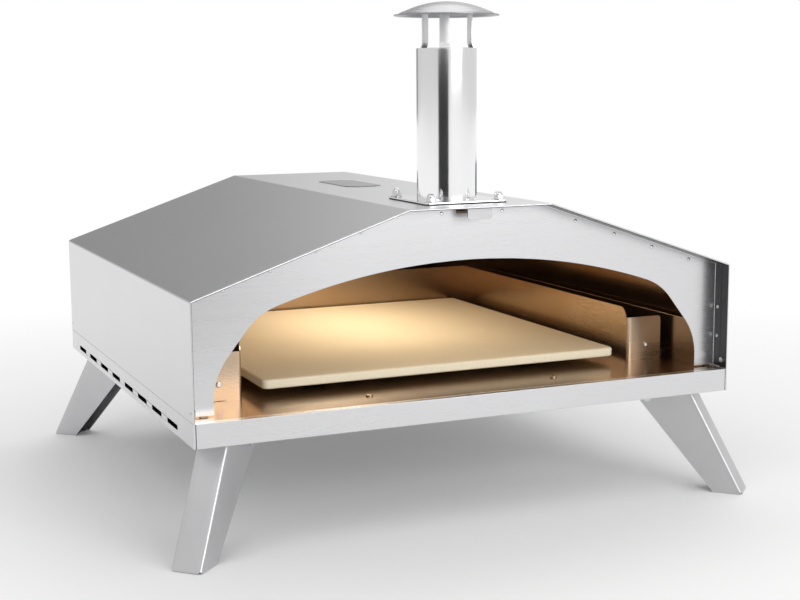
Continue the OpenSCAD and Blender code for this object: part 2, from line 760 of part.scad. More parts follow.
// Channel with its web to the corner, its flanges narrowing to a closed foot
module leg(sx, sy) {
    web = leg_t / cos(leg_splay);
    lean = tan(leg_splay);
    corner(sx, sy) color(steel) difference() {
        upright(-leg_w / 2, leg_w / 2) leg_side();
        upright(-leg_w / 2 + leg_t, leg_w / 2 - leg_t) polygon([
            [-web - lean, 1], [foot_u - web - leg_t * lean, leg_t - stand_h],
            [-150, leg_t - stand_h], [-150, 1]]);
        // reliefs at both ends of the bends
        for (s = [-1, 1]) {
            translate([0, s * leg_w / 2, 0]) rod(relief_r, -leg_gap - relief_h, 1);
            translate([foot_u, s * leg_w / 2, 0]) rod(relief_r, -stand_h - 1, relief_h - stand_h);
        }
        translate([pin_u, 0, -pin_drop]) rotate([90, 0, 0])
            cylinder(r = pin_r + pin_fit, h = leg_w + 2, center = true);
    }
}
module leg_front_left() leg(-1, -1);
module leg_front_right() leg(1, -1);
module leg_rear_left() leg(-1, 1);
module leg_rear_right() leg(1, 1);

// Plate below the base with two ears inside the leg's flanges
module bracket(sx, sy) {
    ear = leg_w / 2 - leg_t - ear_gap;
    corner(sx, sy) color(dark_steel) difference() {
        union() {
            box(pin_u - bracket_back, pin_u + bracket_front, -ear, ear, -ear_t, 0);
            for (s = [-1, 1]) translate([0, s * (ear - ear_t / 2), 0]) upright(-ear_t / 2, ear_t / 2) {
                translate([pin_u - ear_r, -pin_drop]) square([2 * ear_r, pin_drop]);
                translate([pin_u, -pin_drop]) circle(ear_r);
            }
        }
        translate([pin_u, 0, -pin_drop]) rotate([90, 0, 0])
            cylinder(r = pin_r + pin_fit, h = leg_w, center = true);
        for (u = bracket_screw_u) translate([u, 0, 0]) rod(screw_r + screw_fit, -ear_t - 1, 1);
    }
}
module bracket_front_left() bracket(-1, -1);
module bracket_front_right() bracket(1, -1);
module bracket_rear_left() bracket(-1, 1);
module bracket_rear_right() bracket(1, 1);

module hinge_pin(sx, sy) {
    face = leg_w / 2 + ear_gap;
    corner(sx, sy) color(steel) translate([pin_u, 0, -pin_drop]) rotate([90, 0, 0]) union() {
        cylinder(r = pin_r, h = 2 * face + 0.2, center = true);
        for (s = [0, 1]) mirror([0, 0, s]) rod(pin_head_r, face, face + pin_head_h);
    }
}
module pin_front_left() hinge_pin(-1, -1);
module pin_front_right() hinge_pin(1, -1);
module pin_rear_left() hinge_pin(-1, 1);
module pin_rear_right() hinge_pin(1, 1);

// Screw up through bracket and pan, with a nut inside the pan
module bracket_screws() color(steel) all_corners() for (u = bracket_screw_u) translate([u, 0, 0]) {
    rod(screw_head_r, -ear_t - screw_head_h, -ear_t);
    rod(screw_r, -ear_t, pan_t + 4);
    difference() {
        translate([0, 0, pan_t]) cylinder(r = 4, h = 3, $fn = 6);
        rod(screw_r - 0.5, pan_t - 1, pan_t + 4);
    }
}

base_pan();
floor_plate();
front_stiffener();
rear_stiffener();
outer_shell();
front_panel();
rear_panel();
inner_liner();
rear_liner();
insulation_blanket();
rear_insulation();
left_side_shield();
right_side_shield();
rear_shield();
left_baffle();
right_baffle();
rear_baffle();
left_fuel_grate();
right_fuel_grate();
rear_fuel_grate();
pizza_stone();
left_stone_rail();
right_stone_rail();
flue_collar();
left_damper_guide();
right_damper_guide();
damper_plate();
flue_gasket();
flue_flange();
flue_pipe();
cap_strut_right();
cap_strut_rear();
cap_strut_front();
flue_cap();
flange_bolts();
name_plate();
front_rivets();
rear_rivets();
side_rivets();
edge_screws();
floor_screws();
baffle_screws();
leg_front_left();
leg_front_right();
leg_rear_left();
leg_rear_right();
bracket_front_left();
bracket_front_right();
bracket_rear_left();
bracket_rear_right();
pin_front_left();
pin_front_right();
pin_rear_left();
pin_rear_right();
bracket_screws();
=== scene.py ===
"""Looks of the wood fired pizza oven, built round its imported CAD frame. Everything is in metres."""

import json

import bmesh
import bpy
import numpy as np
from bpy.props import FloatProperty, FloatVectorProperty, PointerProperty
from mathutils import Matrix, Vector


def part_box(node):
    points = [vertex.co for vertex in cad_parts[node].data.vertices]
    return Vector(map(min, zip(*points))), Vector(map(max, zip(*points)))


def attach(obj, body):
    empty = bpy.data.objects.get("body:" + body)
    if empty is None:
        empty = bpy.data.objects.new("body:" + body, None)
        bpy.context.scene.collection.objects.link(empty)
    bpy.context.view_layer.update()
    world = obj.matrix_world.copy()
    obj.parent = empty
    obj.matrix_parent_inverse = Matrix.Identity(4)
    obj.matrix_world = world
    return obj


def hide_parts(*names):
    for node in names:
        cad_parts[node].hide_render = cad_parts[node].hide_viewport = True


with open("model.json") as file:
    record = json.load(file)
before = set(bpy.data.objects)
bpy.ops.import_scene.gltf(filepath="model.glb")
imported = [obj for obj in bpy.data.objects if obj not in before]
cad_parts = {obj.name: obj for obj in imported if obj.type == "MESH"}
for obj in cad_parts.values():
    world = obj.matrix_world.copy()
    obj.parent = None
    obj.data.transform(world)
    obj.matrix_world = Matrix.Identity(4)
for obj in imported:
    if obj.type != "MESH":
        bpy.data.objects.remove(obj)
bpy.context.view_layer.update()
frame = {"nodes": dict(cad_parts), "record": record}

bl_info = {
    "name": "Wood Fired Pizza Oven",
    "version": (1, 0, 0),
    "blender": (4, 5, 0),
    "location": "View3D > Sidebar > Oven",
    "description": "Builds the visible pieces and finishes of a wood fired pizza oven",
    "category": "Object",
}


# ---------------------------------------------------------------- sizes and colours


def length(name, description, default):
    return FloatProperty(name=name, description=description, default=default, min=0, precision=5,
                         subtype="DISTANCE", unit="LENGTH")


def angle(name, description, default):
    return FloatProperty(name=name, description=description, default=default, subtype="ANGLE",
                         unit="ROTATION")


def colour(name, description, default):
    return FloatVectorProperty(name=name, description=description, default=default, min=0, max=1,
                               size=3, subtype="COLOR")


class OvenSizes(bpy.types.PropertyGroup):
    """Sizes that the frame's boxes don't give."""

    eave: length("Eave", "Height of the side walls above the base's underside", 0.139)
    roof_flat: length("Roof flat", "Width of the flat part of the roof", 0.158)
    sheet: length("Sheet", "Thickness of the shell and its end panels", 0.001)
    bend: length("Bend", "Outer radius of the shell's folds", 0.0022)
    hem: length("Hem", "Depth of the hem folded in at both ends of the shell", 0.011)
    arch_width: length("Mouth width", "Width of the arched mouth at its foot", 0.546)
    arch_top: length("Mouth top", "Top of the mouth above the base's underside", 0.159)
    crown: length("Crown", "Radius of the mouth's wide upper arc", 0.667)
    crown_angle: angle("Crown angle", "Reach of the upper arc each side of the middle", 0.31765)
    shoulder: length("Shoulder", "Radius of the mouth's shoulders", 0.066)
    shoulder_angle: angle("Shoulder angle", "Slant of the straight shoulder", 0.90757)
    notch: length("Notch", "Width of the notch for the damper's neck", 0.036)
    notch_drop: length("Notch drop", "Height of that notch", 0.007)
    stone_corner: length("Stone corner", "Corner radius of the baking stone", 0.006)
    stone_edge: length("Stone edge", "Rounding along the baking stone's edges", 0.0022)
    pipe_wall: length("Pipe wall", "Wall of the flue pipe", 0.001)
    dome: length("Dome", "Width of the domed part of the rain cap", 0.090)
    brim: length("Brim", "Rise of the rain cap's sloping brim", 0.0035)
    leg_width: length("Leg width", "Width of a leg across its web", 0.032)
    leg_sheet: length("Leg sheet", "Thickness of a leg", 0.0015)
    leg_bend: length("Leg bend", "Outer radius of a leg's folds", 0.0026)
    leg_splay: angle("Leg splay", "Outward lean of a leg", 0.48869)
    foot: length("Foot", "Depth of a leg at the ground", 0.032)
    setback: length("Setback", "Setback of a leg from the corner, along each side", 0.026)


class OvenFinishes(bpy.types.PropertyGroup):
    """Colours of the oven's finishes."""

    steel: colour("Brushed steel", "Brushed sheet of the shell and base", (0.70, 0.70, 0.71))
    polished: colour("Polished steel", "Mirror finish of the flue pipe", (0.90, 0.90, 0.91))
    satin: colour("Satin steel", "Fine blasted finish of the legs", (0.62, 0.62, 0.63))
    bronze: colour("Heat tint", "Bronze that the fire gives bare steel", (0.38, 0.25, 0.15))
    straw: colour("Straw tint", "Lighter tint further from the fire", (0.62, 0.48, 0.35))
    stone: colour("Stone top", "Baking face of the stone", (0.92, 0.77, 0.52))
    stone_side: colour("Stone side", "Cut edge of the stone", (0.96, 0.88, 0.68))
    soot: colour("Soot", "Blackened steel beside the fire", (0.10, 0.075, 0.06))
    badge: colour("Badge", "Enamel of the blank badge", (0.012, 0.012, 0.013))
    floor: colour("Studio floor", "Pale floor under the oven", (0.92, 0.92, 0.92))


def sizes():
    return bpy.context.scene.oven_sizes


def finishes():
    return bpy.context.scene.oven_finishes


# ---------------------------------------------------------------- surfaces


SAME_POINT = 1e-6
NO_LENGTH = 1e-8
# share of a sheet's thickness that its shown wall takes, to stay clear of the sheet beside it
SHOWN_WALL = 0.96
LEG_WALL = 0.97
CORNERS = {"front_left": (-1, -1), "front_right": (1, -1), "rear_left": (-1, 1), "rear_right": (1, 1)}


class Piece:
    """Points, faces and material numbers of one piece, gathered from several surfaces."""

    def __init__(self):
        self.points, self.quads, self.numbers, self.count = [], [], [], 0

    def grid(self, p, keep=None, wrap=False, number=0, flip=False):
        """Adds a surface given as rows of points, shape (rows, columns, 3).

        Neighbouring points join into four-sided faces. keep masks faces out, wrap joins the last
        column to the first, and number is the material, for all faces or for each.
        """
        rows, cols = p.shape[:2]
        index = np.arange(rows * cols).reshape(rows, cols) + self.count
        if wrap:
            index = np.concatenate([index, index[:, :1]], axis=1)
        q = np.stack([index[:-1, :-1], index[:-1, 1:], index[1:, 1:], index[1:, :-1]], axis=-1)
        if flip:
            q = q[..., ::-1]
        kind = np.broadcast_to(number, q.shape[:2])
        if keep is not None:
            q, kind = q[keep], kind[keep]
        self.points.append(p.reshape(-1, 3))
        self.quads.append(q.reshape(-1, 4))
        self.numbers.append(kind.reshape(-1))
        self.count += rows * cols
        return self

    def make(self, name, body, slot, replaces, coats=None, wall=0.0, crease=35):
        """Makes the object: doubles merged, a wall given inwards, smooth but for creases.

        coats names the finishes by number, and is the slot's own finish when left out.
        """
        mesh = bpy.data.meshes.new(name)
        points, quads = np.concatenate(self.points), np.concatenate(self.quads)
        mesh.vertices.add(len(points))
        mesh.vertices.foreach_set("co", points.astype(np.float32).ravel())
        mesh.loops.add(quads.size)
        mesh.loops.foreach_set("vertex_index", quads.astype(np.int32).ravel())
        mesh.polygons.add(len(quads))
        mesh.polygons.foreach_set("loop_start", np.arange(0, quads.size, 4, dtype=np.int32))
        mesh.polygons.foreach_set("material_index", np.concatenate(self.numbers).astype(np.int32))
        for coat in coats or (slot,):
            mesh.materials.append(material(coat))
        mesh.update(calc_edges=True)
        work = bmesh.new()
        work.from_mesh(mesh)
        bmesh.ops.remove_doubles(work, verts=work.verts, dist=SAME_POINT)
        bmesh.ops.dissolve_degenerate(work, edges=work.edges, dist=NO_LENGTH)
        work.to_mesh(mesh)
        work.free()
        mesh.validate()
        obj = bpy.data.objects.new(name, mesh)
        bpy.context.collection.objects.link(obj)
        if wall:
            solid = obj.modifiers.new("wall", "SOLIDIFY")
            solid.thickness, solid.offset, solid.use_even_offset = wall, -1, True
            bpy.context.view_layer.update()
            made = obj.evaluated_get(bpy.context.evaluated_depsgraph_get())
            obj.data = bpy.data.meshes.new_from_object(made)
            obj.modifiers.clear()
            obj.data.name = name
        obj.data.polygons.foreach_set("use_smooth", np.ones(len(obj.data.polygons), bool))
        obj.data.set_sharp_from_angle(angle=np.radians(crease))
        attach(obj, body)
        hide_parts(*replaces)
        return obj


def shaped(x, y, z):
    """Points from three arrays that broadcast to one shape."""
    return np.stack(np.broadcast_arrays(x, y, z), axis=-1).astype(float)


def all_round(steps):
    """Angles evenly round a circle, the last one step short of the first."""
    return np.linspace(0, 2 * np.pi, steps, endpoint=False)


def plan_centre(name):
    """Middle of a frame box, seen from above."""
    low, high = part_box(name)
    return ((low.x + high.x) / 2, (low.y + high.y) / 2)


def turned(profile, centre, steps=96, start=0.0):
    """A surface of revolution: radius r at height z, turned about a vertical axis.

    The point at angle a is centre + (r cos a, r sin a), so a closed profile makes a closed ring.
    """
    r, z = np.asarray(profile, float).T
    a = start + all_round(steps)
    return shaped(centre[0] + r[:, None] * np.cos(a), centre[1] + r[:, None] * np.sin(a), z[:, None])


def quarter(centre, radius, start, end, steps=5):
    """Points on a circle's arc between two angles given in degrees."""
    a = np.radians(np.linspace(start, end, steps))
    return np.stack([centre[0] + radius * np.cos(a), centre[1] + radius * np.sin(a)], axis=-1)


def rounded_rectangle(half_x, half_y, radius, steps=6):
    """Outline of a rectangle whose corners are arcs, anticlockwise, with the straight parts between."""
    corners = [(half_x - radius, half_y - radius, 0), (radius - half_x, half_y - radius, 90),
               (radius - half_x, radius - half_y, 180), (half_x - radius, radius - half_y, 270)]
    return np.concatenate([quarter(c[:2], radius, c[2], c[2] + 90, steps) for c in corners])


def smooth_path(corners, radius, steps=6):
    """A path through corners, each rounded by an arc-like curve of the given reach.

    Around corner b the path runs (1-t)^2 p + 2t(1-t) b + t^2 q, where p and q lie on its two sides
    at the reach given.
    """
    c = np.asarray(corners, float)
    reach = np.broadcast_to(radius, len(c) - 2)
    t = np.linspace(0, 1, steps)[:, None]
    out = [c[:1]]
    for a, b, d, r in zip(c[:-2], c[1:-1], c[2:], reach):
        p = b + (a - b) / np.linalg.norm(a - b) * r
        q = b + (d - b) / np.linalg.norm(d - b) * r
        out.append((1 - t) ** 2 * p + 2 * t * (1 - t) * b + t ** 2 * q)
    return np.concatenate(out + [c[-1:]])


# ---------------------------------------------------------------- body outline


class Body:
    """Measures of the oven's body: widths and heights from the frame's boxes, in the row frame."""

    def __init__(self):
        s = sizes()
        low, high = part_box("outer_shell")
        self.half = high.x
        self.front, self.back = low.y, high.y
        self.foot = low.z
        self.roof = high.z
        self.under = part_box("base_pan")[0].z
        self.eave = self.under + s.eave
        self.flat = s.roof_flat / 2
        self.slope = np.arctan2(self.roof - self.eave, self.half - self.flat)
        self.bend = s.bend

    def outline(self, inset, foot, tops=(), radius=None):
        """The house outline from left foot over the roof to right foot, set in by inset.

        Every fold is an arc about one fixed centre, with radius bend - inset, so outlines with
        different insets match point by point. tops are extra places across the flat roof.
        """
        bend = max(self.bend, inset + 0.0002) if radius is None else radius
        a = self.slope
        low = self.eave - bend * np.tan((np.pi / 2 - a) / 2)
        near = self.flat - bend * np.tan(a / 2)
        side, top = self.half - bend, self.roof - bend
        r = bend - inset
        turn_low = np.linspace(np.pi, np.pi / 2 + a, 7)
        turn_top = np.linspace(np.pi / 2 + a, np.pi / 2, 4)
        arc_low = np.stack([-side + r * np.cos(turn_low), low + r * np.sin(turn_low)], -1)
        arc_top = np.stack([-near + r * np.cos(turn_top), top + r * np.sin(turn_top)], -1)
        rise = np.append(np.linspace(foot, arc_low[0, 1] - 0.0005, 22), arc_low[0, 1] - 0.0002)
        wall = np.stack([np.full(len(rise), inset - self.half), rise], -1)
        run = np.linalg.norm(arc_top[0] - arc_low[-1])
        held = np.concatenate([[0.0003 / run], np.linspace(0, 1, 40)[1:-1], [1 - 0.0003 / run]])
        rake = arc_low[-1] + (arc_top[0] - arc_low[-1]) * held[:, None]
        left = np.concatenate([wall, arc_low, rake, arc_top, arc_top[-1:] + [0.0003, 0]])
        middle = np.array([[x, self.roof - inset] for x in sorted({*tops, *(-t for t in tops), 0.0})])
        return np.concatenate([left, middle, left[::-1] * [-1, 1]])

    def arch(self):
        """Right half of the mouth's edge, from its top: crown arc, shoulder arc, straight, lower arc."""
        s = sizes()
        c1 = s.arch_top - s.crown
        k, m = s.crown_angle, s.shoulder_angle
        d = s.crown - s.shoulder
        c2 = np.array([d * np.sin(k), c1 + d * np.cos(k)])
        p2 = c2 + s.shoulder * np.array([np.sin(m), np.cos(m)])
        c3x = s.arch_width / 2 - s.shoulder
        p3x = c3x + s.shoulder * np.sin(m)
        c3z = p2[1] - (p3x - p2[0]) * np.tan(m) - s.shoulder * np.cos(m)
        a1, a2, a3 = np.linspace(0, k, 40), np.linspace(k, m, 14), np.linspace(m, np.pi / 2, 14)
        half = np.concatenate([
            np.stack([s.crown * np.sin(a1), c1 + s.crown * np.cos(a1)], -1),
            np.stack([c2[0] + s.shoulder * np.sin(a2), c2[1] + s.shoulder * np.cos(a2)], -1)[1:],
            np.stack([c3x + s.shoulder * np.sin(a3), c3z + s.shoulder * np.cos(a3)], -1),
        ])
        half[:, 1] += self.under
        return half


# ---------------------------------------------------------------- shader maths


class Sock:
    """A shader socket on which Python's own operators add Math nodes."""

    def __init__(self, finish, socket):
        self.finish, self.socket = finish, socket

    def maths(self, operation, *values, clamp=False):
        given = {"operation": operation, "use_clamp": clamp}
        return self.finish.add("ShaderNodeMath", given, dict(enumerate(values)))

    def __add__(self, other):
        return self.maths("ADD", self, other)

    __radd__ = __add__

    def __sub__(self, other):
        return self.maths("SUBTRACT", self, other)

    def __rsub__(self, other):
        return self.maths("SUBTRACT", other, self)

    def __mul__(self, other):
        return self.maths("MULTIPLY", self, other)

    __rmul__ = __mul__

    def __truediv__(self, other):
        return self.maths("DIVIDE", self, other)

    def __rtruediv__(self, other):
        return self.maths("DIVIDE", other, self)

    def __pow__(self, other):
        return self.maths("POWER", self, other)

    def __abs__(self):
        return self.maths("ABSOLUTE", self)

    def over(self, edge, width=1e-4):
        """1 where this is above edge and 0 below, turning over the width given."""
        return self.maths("MULTIPLY_ADD", self, 1 / width, 0.5 - edge / width, clamp=True)

    def most(self, other):
        return self.maths("MAXIMUM", self, other)


def times(shade, factor):
    """A shade made darker or lighter, no part of it above 1."""
    return tuple(min(1, v * factor) for v in shade)


class Nodes:
    """An emptied node tree, to which nodes are added by one method."""

    def __init__(self, tree):
        self.nodes, self.links = tree.nodes, tree.links
        self.nodes.clear()

    def add(self, kind, settings, inputs, output=0):
        """Adds a node: its settings first, with a ramp's stops, then the values or links of its sockets."""
        node = self.nodes.new(kind)
        for key, value in settings.items():
            if key == "stops":
                ramp = node.color_ramp
                for i, (at, shade) in enumerate(value):
                    stop = ramp.elements[i] if i < 2 else ramp.elements.new(at)
                    stop.position, stop.color = at, (*shade, 1)
            else:
                setattr(node, key, value)
        for key, value in inputs.items():
            if isinstance(value, Sock):
                self.links.new(value.socket, node.inputs[key])
            else:
                if isinstance(value, (tuple, list)) and len(value) == 3 and node.inputs[key].type == "RGBA":
                    value = (*value, 1)
                node.inputs[key].default_value = value
        return Sock(self, node.outputs[output])


class Finish(Nodes):
    """A procedural material wired to a Principled shader."""

    def __init__(self, name, **fixed):
        self.material = bpy.data.materials.new(name)
        self.material.use_nodes = True
        super().__init__(self.material.node_tree)
        self.out = self.nodes.new("ShaderNodeOutputMaterial")
        self.shader = self.nodes.new("ShaderNodeBsdfPrincipled")
        self.links.new(self.shader.outputs[0], self.out.inputs[0])
        self.set(**fixed)
        self.place = self.add("ShaderNodeTexCoord", {}, {}, "Object")

    def set(self, **values):
        """Values or links of the shader's own sockets, underscores for blanks."""
        for key, value in values.items():
            socket = self.shader.inputs[key.replace("_", " ")]
            if isinstance(value, Sock):
                self.links.new(value.socket, socket)
            else:
                socket.default_value = (*value, 1) if socket.type == "RGBA" else value

    def scaled(self, x, y, z):
        return self.add("ShaderNodeMapping", {}, {"Vector": self.place, "Scale": (x, y, z)})

    def noise(self, scale, detail=2.0, rough=0.5, stretch=(1, 1, 1)):
        inputs = {"Vector": self.scaled(*stretch), "Scale": scale, "Detail": detail, "Roughness": rough}
        return self.add("ShaderNodeTexNoise", {}, inputs)

    def mix(self, share, a, b):
        return self.add("ShaderNodeMix", {"data_type": "RGBA"}, {0: share, 6: a, 7: b}, 2)

    def axes(self):
        node = self.nodes.new("ShaderNodeSeparateXYZ")
        self.links.new(self.place.socket, node.inputs[0])
        return [Sock(self, output) for output in node.outputs]

    def bump(self, height, distance, strength=1.0):
        inputs = {"Height": height, "Distance": distance, "Strength": strength}
        self.set(Normal=self.add("ShaderNodeBump", {}, inputs))
        return self.material


def brushed(name, shade, streak, rough=0.27, seam=None, cloud=0.05):
    """Brushed sheet: long fine streaks across the stretch given, over soft clouds of rolled steel."""
    f = Finish(name, Metallic=1.0, Specular_IOR_Level=0.5)
    fine = f.noise(1.0, 3.0, 0.65, streak)
    coarse = f.noise(1.0, 2.0, 0.5, tuple(v / 5 for v in streak))
    soft = f.noise(9.0, 2.0)
    grain = fine * 0.6 + coarse * 0.4
    tone = grain * 0.035 + soft * cloud - 0.0175 - cloud / 2
    dark = times(shade, 0.86)
    light = times(shade, 1.10)
    mask = tone.maths("MULTIPLY_ADD", tone, 3.2, 0.5, clamp=True)
    base = f.mix(mask, dark, light)
    height = grain
    if seam is not None:
        x, y, z = f.axes()
        line = seam(x, y, z)
        base = f.mix(line, base, (0.03, 0.03, 0.03))
        height = grain - line * 6
    f.set(Base_Color=base, Roughness=rough + (grain - 0.5) * 0.07)
    f.bump(height, 0.00001, 0.1)
    return f.material


def heat_tinted(name, near, far, rough=0.2, streak=(12, 500, 500), clouds=0.5):
    """Steel coloured by the fire: bronze and straw in drifting clouds over faint brushing."""
    f = Finish(name, Metallic=1.0)
    drift = f.noise(7.0, 3.0, 0.55)
    spot = f.noise(40.0, 2.0, 0.5)
    grain = f.noise(1.0, 3.0, 0.6, streak)
    share = drift.maths("MULTIPLY_ADD", drift, 1.5, clouds - 0.75, clamp=True)
    base = f.mix(share, near, far)
    dim = f.mix(spot.over(0.62, 0.4) * 0.15, base, times(near, 0.7))
    base = f.mix((grain - 0.35) * 0.12, dim, times(far, 1.2))
    f.set(Base_Color=base, Roughness=rough + drift * 0.06 + (grain - 0.5) * 0.03)
    f.bump(grain, 0.000004, 0.05)
    return f.material


def polished_steel(name, shade):
    """Mirror-polished tube with the faintest lines along it, slightly hazed in soft patches."""
    f = Finish(name, Metallic=1.0)
    line = f.noise(1.0, 2.0, 0.5, (260, 260, 6))
    haze = f.noise(25.0, 2.0)
    f.set(Base_Color=f.mix(line * 0.25, shade, times(shade, 0.9)),
          Roughness=0.10 + haze * 0.05)
    f.bump(haze, 0.00001, 0.05)
    return f.material


def satin_steel(name, shade, rough=0.40):
    """Fine blasted grain, the same in every direction."""
    f = Finish(name, Metallic=1.0)
    grain = f.noise(1400.0, 2.0, 0.7)
    soft = f.noise(22.0, 3.0)
    share = grain * 0.55 + soft * 0.45
    f.set(Base_Color=f.mix(share, times(shade, 0.82), times(shade, 1.12)),
          Roughness=rough + (grain - 0.5) * 0.25)
    f.bump(grain, 0.00006, 0.35)
    return f.material


def ringed_steel(name, shade, centre):
    """Sheet spun on a lathe: fine rings about the flue's axis."""
    f = Finish(name, Metallic=1.0)
    x, y, z = f.axes()
    radius = ((x - centre[0]) * (x - centre[0]) + (y - centre[1]) * (y - centre[1])) ** 0.5
    inputs = {"Vector": f.add("ShaderNodeCombineXYZ", {}, {0: radius * 900, 1: z * 500})}
    ring = f.add("ShaderNodeTexNoise", {}, {**inputs, "Scale": 1.0, "Detail": 3.0, "Roughness": 0.6})
    soft = f.noise(30.0, 2.0)
    share = ring * 0.6 + soft * 0.4
    f.set(Base_Color=f.mix(share, times(shade, 0.74), times(shade, 1.12)),
          Roughness=0.26 + (ring - 0.5) * 0.2)
    f.bump(ring, 0.00004, 0.3)
    return f.material


def baking_stone(name, top, side, top_z):
    """Pressed cordierite: sandy speckle, a darker, warmer top face with soft blotches, and paler edges."""
    f = Finish(name, Metallic=0.0, Specular_IOR_Level=0.25)
    z = f.axes()[2]
    face = z.over(top_z - 0.0011, 0.0009)
    speck = f.noise(520.0, 3.0, 0.7)
    drift = f.noise(9.0, 3.0, 0.55)
    pit = f.add("ShaderNodeTexVoronoi", {}, {"Vector": f.place, "Scale": 420.0})
    blotched_top = f.mix(drift.over(0.55, 0.35) * 0.3, top, times(top, 0.90))
    base = f.mix(face, side, blotched_top)
    base = f.mix(speck.over(0.60, 0.12) * 0.2, base, times(top, 0.7))
    base = f.mix((1 - speck).over(0.60, 0.1) * 0.35, base, (0.95, 0.86, 0.66))
    f.set(Base_Color=base, Roughness=0.86 + speck * 0.1)
    f.bump(speck + pit * 0.5, 0.00025, 0.5)
    return f.material


def sooted_steel(name, soot, bare):
    """Steel beside the fire: soot in soft patches, bare tinted metal showing through."""
    f = Finish(name)
    drift = f.noise(26.0, 4.0, 0.6)
    grain = f.noise(600.0, 2.0, 0.6)
    share = drift.over(0.54, 0.25)
    f.set(Base_Color=f.mix(share, soot, bare), Metallic=0.35 + share * 0.65,
          Roughness=0.75 - share * 0.3 + (grain - 0.5) * 0.1)
    f.bump(grain + drift, 0.0001, 0.5)
    return f.material


def mill_steel(name, shade, rough=0.36):
    """Plain sheet inside and under the oven: rolled finish with a soft long grain. When it is given
    near-black, as for the hems, it is painted shade.
    """
    f = Finish(name, Metallic=1.0)
    grain = f.noise(1.0, 3.0, 0.6, (60, 700, 700))
    soft = f.noise(14.0, 3.0)
    share = grain * 0.5 + soft * 0.5
    f.set(Base_Color=f.mix(share, times(shade, 0.78), times(shade, 1.15)),
          Roughness=rough + (grain - 0.5) * 0.2)
    f.bump(grain, 0.00004, 0.3)
    return f.material


def bolt_steel(name, shade):
    """Bright turned fixings, a little worn on their crowns."""
    f = Finish(name, Metallic=1.0)
    wear = f.noise(420.0, 3.0, 0.6)
    f.set(Base_Color=f.mix(wear, times(shade, 0.75), shade), Roughness=0.16 + wear * 0.18)
    f.bump(wear, 0.00003, 0.3)
    return f.material


def fibre(name, shade):
    """Felted insulation: tangled pale fibres."""
    f = Finish(name, Metallic=0.0, Sheen_Weight=0.3)
    strand = f.noise(1.0, 4.0, 0.7, (120, 900, 500))
    tuft = f.noise(60.0, 4.0)
    share = strand * 0.6 + tuft * 0.4
    f.set(Base_Color=f.mix(share, times(shade, 0.72), shade), Roughness=0.92 + strand * 0.06)
    f.bump(share, 0.0006, 0.7)
    return f.material


def gasket(name):
    """Woven rope gasket pressed flat. Its near-black colour is partly painted shadow, the dark line under the
    flange plate's edge.
    """
    f = Finish(name, Metallic=0.0)
    weave = f.add("ShaderNodeTexWave", {"wave_type": "BANDS", "bands_direction": "DIAGONAL"},
                  {"Vector": f.place, "Scale": 260.0, "Distortion": 1.5}, 1)
    f.set(Base_Color=f.mix(weave, (0.012, 0.012, 0.012), (0.045, 0.042, 0.04)), Roughness=0.8 + weave * 0.1)
    f.bump(weave, 0.0003, 0.6)
    return f.material


def badge_enamel(name, shade, box):
    """Glossy dark enamel with an engraved border line and fine orange peel."""
    f = Finish(name, Metallic=0.0, Coat_Roughness=0.06, Specular_IOR_Level=0.6)
    x, y = f.axes()[:2]
    low, high = box
    half_x, half_y = (high.x - low.x) / 2, (high.y - low.y) / 2
    off_x, off_y = abs(x - (low.x + high.x) / 2), abs(y - (low.y + high.y) / 2)
    corner = (off_x + off_y - (half_x + half_y - 0.012)) * 0.7071
    depth = (off_x - half_x).most(off_y - half_y).most(corner)
    line = depth.over(-0.0042, 0.0004) * (1 - depth.over(-0.0034, 0.0004))
    peel = f.noise(350.0, 2.0)
    f.set(Base_Color=f.mix(line, shade, (0.16, 0.16, 0.165)), Roughness=0.22 + peel * 0.1 + line * 0.2,
          Coat_Weight=0.6 - line * 0.4)
    f.bump(peel * 0.2 - line * 3, 0.0001, 0.5)
    return f.material


def studio_floor(name, shade):
    """Pale matt floor that melts into white far from the oven."""
    f = Finish(name, Metallic=0.0, Roughness=0.85, Specular_IOR_Level=0.1)
    x, y = f.axes()[:2]
    far = ((x * x + y * y) ** 0.5).over(0.85, 0.95)
    tint = f.noise(3.0, 2.0)
    f.set(Base_Color=f.mix(tint, shade, times(shade, 0.985)))
    glow = f.add("ShaderNodeEmission", {}, {0: (1, 1, 1), 1: 1.0})
    blend = f.add("ShaderNodeMixShader", {}, {0: far, 1: Sock(f, f.shader.outputs[0]), 2: glow})
    f.links.new(blend.socket, f.out.inputs[0])
    return f.material


MADE = {}


